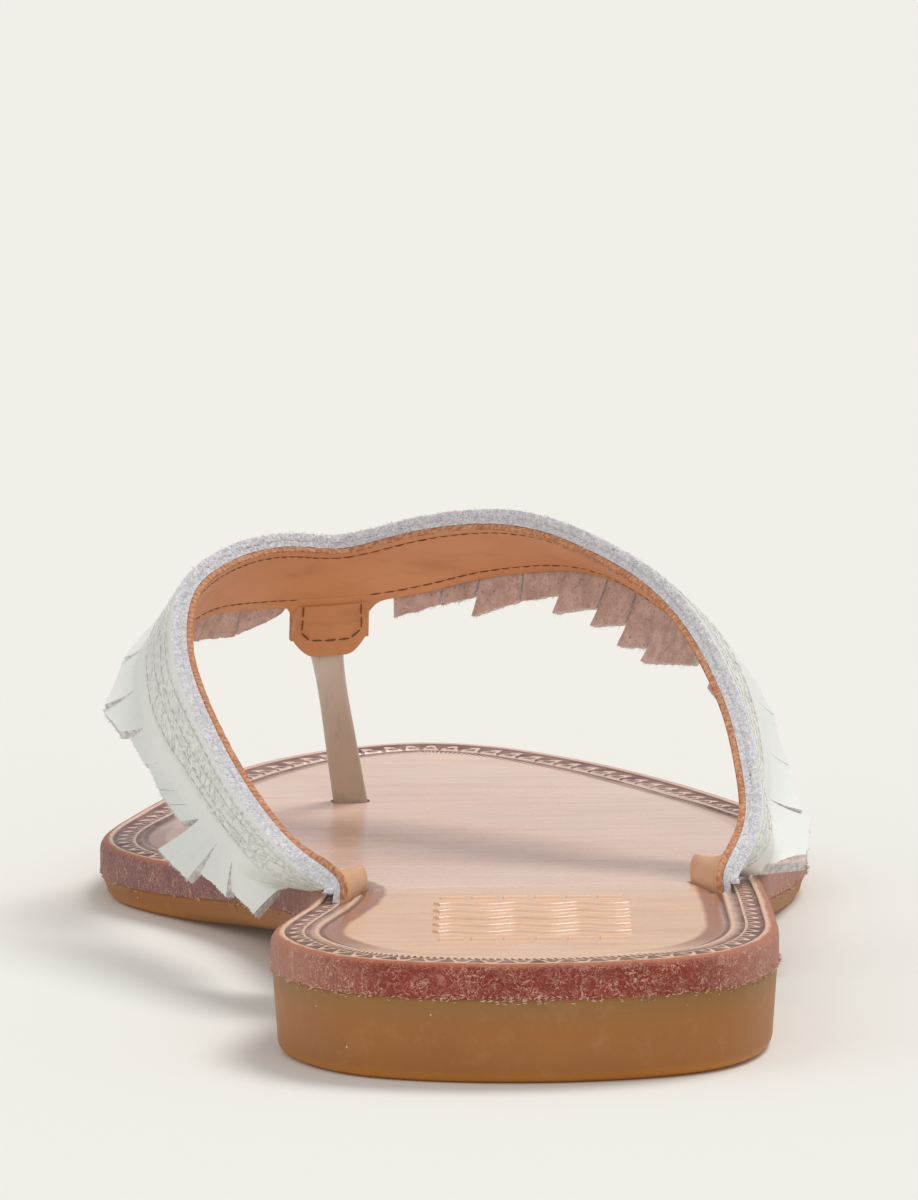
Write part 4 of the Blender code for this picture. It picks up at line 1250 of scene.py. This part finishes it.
def flesh_side():
    """The fringe's inner side: mottled rosy suede with dark specks."""
    finish = Finish("fringe flesh side")
    cloud = finish.noise(2.2 * MM, 4, 0.7)
    colour = finish.blend(finish.fade(cloud, 0.3, 0.7), tone(196, 171, 162), tone(228, 207, 198))
    speck = finish.fade(finish.noise(0.42 * MM, 2), 0.60, 0.68, 0.0, 0.55)
    colour = finish.blend(speck, colour, tone(124, 100, 96))
    pale = finish.fade(finish.noise(0.6 * MM, 2, twist=1.0), 0.62, 0.72, 0.0, 0.5)
    colour = finish.blend(pale, colour, tone(218, 200, 192))
    bump = finish.relief(finish.noise(0.4 * MM, 3), 0.25 * MM, 0.8)
    return finish.dress(base_color=colour, roughness=0.95, normal=bump, specular_ior_level=0.15)


def cut_edge():
    finish = Finish("fringe cut edge")
    fine = finish.noise(0.5 * MM, 3)
    colour = finish.blend(finish.fade(fine, 0.35, 0.65), tone(194, 188, 186), tone(228, 225, 221))
    bump = finish.relief(fine, 0.2 * MM, 0.8)
    return finish.dress(base_color=colour, roughness=0.9, normal=bump, specular_ior_level=0.2)


fringe_rows = np.concatenate([[0, 0.02, 0.05, 0.09], np.linspace(0.16, 1, 11)])
strip_rows = np.linspace(0, 1, 10)[1:]
layer_depths = (FRINGE_OUTER, 1.95 * MM, 1.65 * MM, 1.35 * MM, FRINGE_INNER)
fringe_start = strap.run_at(strap.tops[0]) + END_GAP
fringe_end = strap.run_at(strap.tops[1]) - END_GAP
columns = int((fringe_end - fringe_start) / FRINGE_PACE)
runs = np.linspace(fringe_start, fringe_end, columns)
s = strap.at_run(runs)
width = strap.width(s)
band_v = (width - ROOT_BACK)[:, None] * fringe_rows[None]
arch = camber(fringe_rows)[None]
band = np.array([strap.place(s[:, None], band_v, t + arch) for t in layer_depths])
for k in range(len(layer_depths)):
    rough = wobble(band[k][:, 0], 0.8 * MM, 40 + k) * 0.20 * MM + 0.1 * MM * (k not in (0, 4))
    band[k][:, 0] -= strap.across(s) * rough[:, None]
# The front edge, where no strip hangs, is worn uneven too
edge_wear = wobble(band[0][:, -1], 2.5 * MM, 50) * 0.25 * MM
band[:, :, -1] += (strap.across(s) * edge_wear[:, None])[None]


class Grid:
    """Points, faces and each point's place in the pattern, gathered part by part."""

    def __init__(self):
        self.verts, self.faces, self.kinds, self.places, self.total = [], [], [], [], 0

    def points(self, points, run, across):
        flat = np.asarray(points).reshape(-1, 3)
        places = np.stack(np.broadcast_arrays(run, across), -1).reshape(-1, 2)
        self.verts.append(flat)
        self.places.append(places / MM)
        self.total += len(flat)
        return np.arange(self.total - len(flat), self.total).reshape(np.shape(points)[:-1])

    def quads(self, a, b, c, d, kind):
        made = np.stack([np.ravel(a), np.ravel(b), np.ravel(c), np.ravel(d)], 1).tolist()
        self.faces += made
        self.kinds += [kind] * len(made)

    def sheet(self, grid, kind):
        self.quads(grid[:-1, :-1], grid[1:, :-1], grid[1:, 1:], grid[:-1, 1:], kind)

    def strip(self, near, far, kind):
        self.quads(near[:-1], near[1:], far[1:], far[:-1], kind)


GRAIN, FLESH, RAW, CUT = range(4)
grid = Grid()
outer = grid.points(band[0], runs[:, None], band_v)
inner = grid.points(band[-1], runs[:, None], band_v)
grid.sheet(outer, GRAIN)
grid.sheet(inner, FLESH)
between = [outer[:, 0]]
between += [grid.points(band[k][:, 0], runs, 0.0) for k in range(1, len(layer_depths) - 1)]
between.append(inner[:, 0])
for near, far in zip(between[:-1], between[1:]):
    grid.strip(near, far, RAW)
for end in (0, -1):
    grid.strip(outer[end], inner[end], CUT)

rng = np.random.default_rng(8)
combs = []
bare = np.ones(columns - 1, bool)
for number, item in enumerate(STRIPS):
    first, last = np.searchsorted(runs, (item.start * MM, item.end * MM))
    pick = np.arange(first, last + 1)
    bare[first:last] = False
    here = s[pick]
    side = np.linspace(0, 1, len(pick))[:, None]
    wide = strap.width(here)
    edge = strap.place(here, wide, STRIP_MIDDLE - strap.lean_out(here, wide))
    near = edge[0] + np.array(item.near) * MM
    far = edge[-1] + np.array(item.far) * MM
    tips = near * (1 - side) + far * side
    start = (band[0][pick, -1] + band[-1][pick, -1]) / 2
    reach = np.linalg.norm(tips - start, axis=1, keepdims=True)
    jag = wobble(tips, JAG_SIZE, 70 + number)[:, None] * JAG_DEPTH
    tips = tips + unit(tips - start) * (jag + rng.normal(0, JAG_FINE, jag.shape))
    bend = strap.across(here) * ALONG_BAND + unit(tips - start) * TO_TIP
    turn = start + bend * reach * BEND_AT
    w = strip_rows[None, :, None]
    middle = start[:, None] * (1 - w) ** 2 + turn[:, None] * 2 * w * (1 - w) + tips[:, None] * w**2
    broad = np.linalg.norm(tips[-1] - tips[0])
    squeeze = SLIT_WIDTH / max(broad, 3 * MM) * w**0.6
    middle += (middle.mean(axis=0, keepdims=True) - middle) * squeeze
    along = np.gradient(middle, axis=0)
    down = np.gradient(np.concatenate([start[:, None], middle], axis=1), axis=1)[:, 1:]
    face = unit(np.cross(along, down))
    hold = strap.normal(here, wide)[:, None]
    over = strap.across(here)[:, None]
    down = unit(down)
    turned = hold * np.sum(down * over, axis=2, keepdims=True)
    turned = turned - over * np.sum(down * hold, axis=2, keepdims=True)
    face *= np.sign(np.sum(face * turned, axis=2, keepdims=True))
    face = unit(hold * (1 - w) ** 3 + face * (1 - (1 - w) ** 3))
    bow = rng.uniform(-1, 1) * STRIP_BOW
    middle += face * bow * (4 * side * (1 - side))[:, :, None] * w
    combs.append((middle[:, -1], unit(tips - start), face[:, -1]))
    half = (FRINGE_OUTER - FRINGE_INNER) / 2 * (1 - w) + FRINGE_THICKNESS / 2 * w
    v = wide[:, None] + reach * strip_rows[None]
    run = runs[pick][:, None]
    top = np.column_stack([outer[pick, -1], grid.points(middle + face * half, run, v)])
    low = np.column_stack([inner[pick, -1], grid.points(middle - face * half, run, v)])
    grid.sheet(top, GRAIN)
    grid.sheet(low, FLESH)
    grid.strip(top[:, -1], low[:, -1], CUT)
    grid.strip(top[0], low[0], CUT)
    grid.strip(top[-1], low[-1], CUT)
# The front edge is closed where no strip hangs
near = np.flatnonzero(bare)
far = near + 1
grid.quads(outer[near, -1], outer[far, -1], inner[far, -1], inner[near, -1], CUT)
finishes = [white_grain("white fringe leather", (239, 240, 234), True)]
finishes += [flesh_side(), raw_edge(), cut_edge()]
verts = np.concatenate(grid.verts)
corners = np.concatenate(grid.places)[np.array(grid.faces).ravel()]
fringe = add_piece("fringe_layer", verts, grid.faces, finishes, grid.kinds, corners)
seat(fringe, ["fringe"])

# Rows of white thread that hold the layer, sewn by hand in long and crossed stitches
STITCH_LENGTH = 2.3 * MM
STITCH_GAP = 0.5 * MM
STITCH_ROWS = (2.2, 4.6, 7.2, 9.8)
# The rows wander, and now and then a stitch crosses between the two middle ones
STITCH_DRIFT = 0.45 * MM
CROSSED_ROWS = (1, 2)
CROSSED_SHARE = 0.3
CROSS_REACH = 1.0 * MM
CROSS_FEET = (0.2 * MM, 2.0 * MM)
THREAD = 0.17 * MM


def white_thread():
    finish = Finish("white thread")
    twist = finish.noise(0.35 * MM, 2)
    colour = finish.blend(twist, tone(206, 202, 190), tone(246, 244, 238))
    return finish.dress(base_color=colour, roughness=0.7, normal=finish.relief(twist, 0.05 * MM))


def on_fringe(run, across):
    s = strap.at_run(np.atleast_1d(run))
    v = np.atleast_1d(across)
    return strap.place(s, v, FRINGE_OUTER + 0.03 * MM + camber(v / strap.width(s)))


rng = np.random.default_rng(31)
sewing = Heap()
for number, row in enumerate(STITCH_ROWS):
    run = fringe_start + 1.5 * MM + number * 0.7 * MM
    while run < fringe_end - 4 * MM:
        long = STITCH_LENGTH * rng.uniform(0.75, 1.15)
        drift = math.sin(run * 90 + number * 2.1) * STITCH_DRIFT
        v = row * MM + drift + rng.normal(0, 0.08 * MM, 2)
        ends = on_fringe(np.array([run, run + long]), v)
        way = strap.normal(strap.at_run(np.array([run])), v[:1])[0]
        sewing.add(*capsule(ends[0], ends[1], THREAD * rng.uniform(0.85, 1.1), way))
        if number in CROSSED_ROWS and rng.random() < CROSSED_SHARE:
            lean = rng.choice((-1, 1)) * CROSS_REACH
            ends = on_fringe(np.array([run + long, run + long + lean]), v + CROSS_FEET)
            sewing.add(*capsule(ends[0], ends[1], THREAD * 0.8, way))
        run += long + STITCH_GAP * rng.uniform(0.7, 1.5)
seat(sewing.piece("fringe_sewing", white_thread()), [])

# Loose fibres: pale ones all along the raw rear edge, and a few from the torn tips
EDGE_FIBRES = 5200
TIP_FIBRES = 900


def loose_fibre():
    finish = Finish("loose white fibres")
    tint = finish.noise(1.2 * MM, 2)
    colour = finish.blend(tint, tone(206, 205, 216), tone(245, 244, 244))
    return finish.dress(base_color=colour, roughness=0.9, specular_ior_level=0.2)


rng = np.random.default_rng(33)
fluff = Heap()
run = rng.uniform(fringe_start, fringe_end, EDGE_FIBRES)
here = strap.at_run(run)
depth = rng.uniform(0.3 * MM, FRINGE_OUTER, EDGE_FIBRES)
roots = strap.place(here, np.full(EDGE_FIBRES, -0.02 * MM), depth)
back = -strap.across(here)
lift = strap.normal(here, np.zeros(EDGE_FIBRES))
ahead = unit(np.cross(back, lift))
for k in range(EDGE_FIBRES):
    pull = rng.normal(0, 1, 3)
    way = unit(back[k] * 0.55 + ahead[k] * pull[0] * 0.8 + lift[k] * pull[1] * 0.6)
    long = rng.uniform(0.25, 0.75) * MM
    fluff.add(*flake(roots[k] + way * long * 0.4, way, long, 0.045 * MM))
for k in range(TIP_FIBRES):
    ends, ways, faces_out = combs[rng.integers(len(combs))]
    at = rng.integers(len(ends))
    way = unit(ways[at] + rng.normal(0, 0.35, 3))
    long = rng.uniform(0.3, 0.9) * MM
    start = ends[at] + faces_out[at] * rng.uniform(-0.45, 0.45) * MM
    fluff.add(*flake(start + way * long * 0.2, way, long, 0.035 * MM))
seat(fluff.piece("fringe_fluff", loose_fibre()), [])


# Toe post. A narrow strip of cream leather rolled round, sewn under the strap's tab and drawn
# down through its slot in the footbed. Its colour goes greyer and darker towards the bottom.
POST_WIDTH = 0.0047
POST_DEPTH = 0.0036
POST_HEAD_RISE = 0.0030
POST_HEAD_SHIFT = 0.0013
POST_SQUARENESS = 0.7
POST_BELOW = 0.002
POST_ALONG = 0.817
POST_ACROSS = -0.154
POST_GAP = 0.0013
LINING_THICKNESS = 0.0009
STRAP_THICKNESS = 0.0015
POST_RINGS = 46
POST_SIDES = 36
Rung = namedtuple("Rung", "rise width depth set_back")
POST = (
    Rung(0.00, 1.00, 1.00, 0.00),
    Rung(0.18, 0.96, 1.00, 0.05),
    Rung(0.42, 0.89, 0.92, 0.17),
    Rung(0.66, 0.87, 0.75, 0.19),
    Rung(0.82, 1.00, 0.56, 0.11),
    Rung(0.92, 1.18, 0.44, 0.03),
    Rung(1.00, 1.35, 0.39, 0.00),
)


def post_leather():
    finish = Finish("toe post leather")
    cloud = finish.noise(6 * MM, 3)
    low = finish.blend(cloud, tone(170, 150, 132), tone(194, 175, 156))
    high = finish.blend(cloud, tone(214, 206, 192), tone(228, 221, 208))
    colour = finish.blend(finish.fade(finish.z, 10 * MM, 36 * MM), low, high)
    line = finish.noise(0.8 * MM, 2, stretch=(1, 1, 9))
    colour = finish.blend(finish.fade(line, 0.55, 0.75, 0.0, 0.25), colour, tone(150, 132, 114))
    bump = finish.relief(line, 0.08 * MM, 0.5)
    bump = finish.relief(finish.cells(0.5 * MM), 0.03 * MM, 0.4, bump)
    return finish.dress(base_color=colour, roughness=0.5, normal=bump, specular_ior_level=0.35)


def post_rings(rises, grow, drop=0.0):
    y = POST_ALONG * SOLE_LENGTH
    foot = np.array([POST_ACROSS * BALL_WIDTH, y, float(footbed_top(y))])
    head_s = np.array([strap.post])
    down, face = strap.tab_frame(head_s)
    edge = strap.place(head_s, strap.width(head_s), 0)
    front = LINING_THICKNESS - STRAP_THICKNESS / 2 + POST_GAP + POST[-1].depth * POST_DEPTH / 2
    head = (edge + down * POST_HEAD_RISE + face * front)[0]
    head[0] += POST_HEAD_SHIFT
    table = np.array(POST)
    shape = spline(table[:, 0], table[:, 1:], np.clip(rises, 0, 1))
    turn = np.arange(POST_SIDES) / POST_SIDES * 2 * math.pi
    cx = np.sign(np.cos(turn)) * np.abs(np.cos(turn)) ** POST_SQUARENESS
    cy = np.sign(np.sin(turn)) * np.abs(np.sin(turn)) ** POST_SQUARENESS
    rings = []
    for rise, (wide, deep, back) in zip(rises, shape):
        centre = foot + (head - foot) * max(rise, 0)
        centre[1] -= back * POST_DEPTH
        if rise < 0:
            centre[2] = float(rubber_top(y)) + SEAM_GAP - drop
        ring = np.stack([cx * (wide * POST_WIDTH / 2 + grow), cy * (deep * POST_DEPTH / 2 + grow)], 1)
        rings.append(np.column_stack([ring, np.zeros(POST_SIDES)]) + centre)
    return rings


def tube(name, rings, finishes):
    return add_piece(name, *capped(rings), finishes)


rises = np.concatenate([[-1.0], np.linspace(0, 1, POST_RINGS)])
post = tube("toe_post_leather", post_rings(rises, 0.0), [post_leather()])
seat(post, ["toe_post"])


# The footbed's three slots, punched through it: one for each end of the strap, wide enough for
# the curled lining, and one for the toe post.
def strap_slot(name, end):
    """The room that the strap's end takes in the footbed, with play around it."""
    top = strap.run_at(strap.tops[end])
    tip, above = (0.0, SLOT_ABOVE) if end == 0 else (strap.run[-1], -SLOT_ABOVE)
    s = strap.at_run(np.linspace(tip, top + above, 16))
    share = np.linspace(0, 1, 15)
    width = strap.width(s)[:, None]
    v = -SLOT_PLAY + (width + 2 * SLOT_PLAY) * share[None]
    curled = bulge(np.full((1, 1), strap.tops[end]), share[None])
    outer = strap.place(s[:, None], v, BASE_OUTER + SLOT_PLAY)
    inner = strap.place(s[:, None], v, LINING_INNER - SLOT_PLAY - curled)
    grids = []
    for grid in (outer, inner):
        way = unit(grid[1] - grid[0])
        grids.append(np.concatenate([(grid[0] - way * SLOT_BELOW)[None], grid]))
    verts, faces, _ = shell(np.array(grids))
    return add_piece(name, verts, faces, [])


cutters = [
    strap_slot("medial_slot", 0),
    strap_slot("lateral_slot", -1),
    tube("post_slot", post_rings(np.array([-1.0, 0.0, 0.08]), 0.3 * MM, POST_BELOW), []),
]
for cutter in cutters:
    cut = footbed.modifiers.new(cutter.name, "BOOLEAN")
    cut.operation = "DIFFERENCE"
    cut.solver = "EXACT"
    cut.object = cutter
solid = bpy.data.meshes.new_from_object(footbed.evaluated_get(bpy.context.evaluated_depsgraph_get()))
footbed.modifiers.clear()
footbed.data = solid
for cutter in cutters:
    bpy.data.objects.remove(cutter)
seat(footbed, ["footbed"])


# Floor and light. A pale plain ground, large soft lights above, and the camera where the
# picture was taken from.
FLOOR_HALF = 6.0
FLOOR_GLOW = 0.03
ROOM_LIGHT = 0.54
CAMERA_PLACE = (-0.0582, -1.4288, 0.2143)
CAMERA_TURN = -2.09
CAMERA_PITCH = 6.34
CAMERA_ROLL = -0.243
CAMERA_LENS = 353.55
CAMERA_SENSOR = 36
CAMERA_REACH = 50


def floor_finish():
    """Plain paper, lit by the lamps, with a touch of its own glow."""
    finish = Finish("pale ground")
    finish.dress(base_color=tone(235, 233, 226), roughness=0.9, specular_ior_level=0.0)
    glow = finish.node("Emission", {0: tone(241, 238, 230), 1: 1.0})
    mixed = finish.node("MixShader", {0: FLOOR_GLOW, 1: finish.shader.outputs[0], 2: glow.outputs[0]})
    finish.tree.links.new(mixed.outputs[0], finish.tree.nodes["Material Output"].inputs["Surface"])
    return finish.material


low, high = -FLOOR_HALF, FLOOR_HALF
mesh = bpy.data.meshes.new("floor")
mesh.from_pydata([(low, low, 0), (high, low, 0), (high, high, 0), (low, high, 0)], [], [(0, 1, 2, 3)])
mesh.materials.append(floor_finish())
floor = bpy.data.objects.new("floor", mesh)
bpy.context.scene.collection.objects.link(floor)

world = bpy.data.worlds.new("pale room")
world.use_nodes = True
world.node_tree.nodes["Background"].inputs["Color"].default_value = tone(246, 246, 248)
world.node_tree.nodes["Background"].inputs["Strength"].default_value = ROOM_LIGHT
bpy.context.scene.world = world

# Wide suns stand for large distant softboxes, so that the ground is lit evenly everywhere
Lamp = namedtuple("Lamp", "name way spread strength colour")
LAMPS = (
    Lamp("softbox_above", (-0.42, -0.38, -1.0), 28, 1.62, (1.0, 0.995, 0.985)),
    Lamp("softbox_left", (0.85, 0.50, -0.60), 50, 0.36, (1.0, 0.995, 0.985)),
    Lamp("softbox_front", (-0.10, 1.0, -0.35), 60, 0.52, (1.0, 1.0, 1.0)),
)
for lamp in LAMPS:
    light = bpy.data.lights.new(lamp.name, "SUN")
    light.angle = math.radians(lamp.spread)
    light.energy = lamp.strength
    light.color = lamp.colour
    thing = bpy.data.objects.new(lamp.name, light)
    way = unit(np.array(lamp.way))
    side = unit(np.cross(way, (0.0, 0.0, 1.0)))
    axes = np.stack([side, np.cross(side, way), -way], 1)
    thing.matrix_world = Matrix.Translation((0, 0, 1)) @ Matrix(axes.tolist()).to_4x4()
    bpy.context.scene.collection.objects.link(thing)

turn, pitch, roll = (math.radians(a) for a in (CAMERA_TURN, CAMERA_PITCH, CAMERA_ROLL))
flat = np.array([-math.sin(turn), math.cos(turn), 0.0])
forward = flat * math.cos(pitch) + np.array([0.0, 0.0, -math.sin(pitch)])
side = unit(np.cross(forward, (0.0, 0.0, 1.0)))
top = np.cross(side, forward)
right = side * math.cos(roll) + top * math.sin(roll)
upright = top * math.cos(roll) - side * math.sin(roll)
axes = np.stack([right, upright, -forward], 1)
lens = bpy.data.cameras.new("camera")
lens.lens = CAMERA_LENS
lens.sensor_width = CAMERA_SENSOR
lens.sensor_fit = "AUTO"
lens.clip_end = CAMERA_REACH
camera = bpy.data.objects.new("camera", lens)
camera.matrix_world = Matrix.Translation(CAMERA_PLACE) @ Matrix(axes.tolist()).to_4x4()
bpy.context.scene.collection.objects.link(camera)
bpy.context.scene.camera = camera
bpy.context.scene.view_settings.view_transform = "Standard"
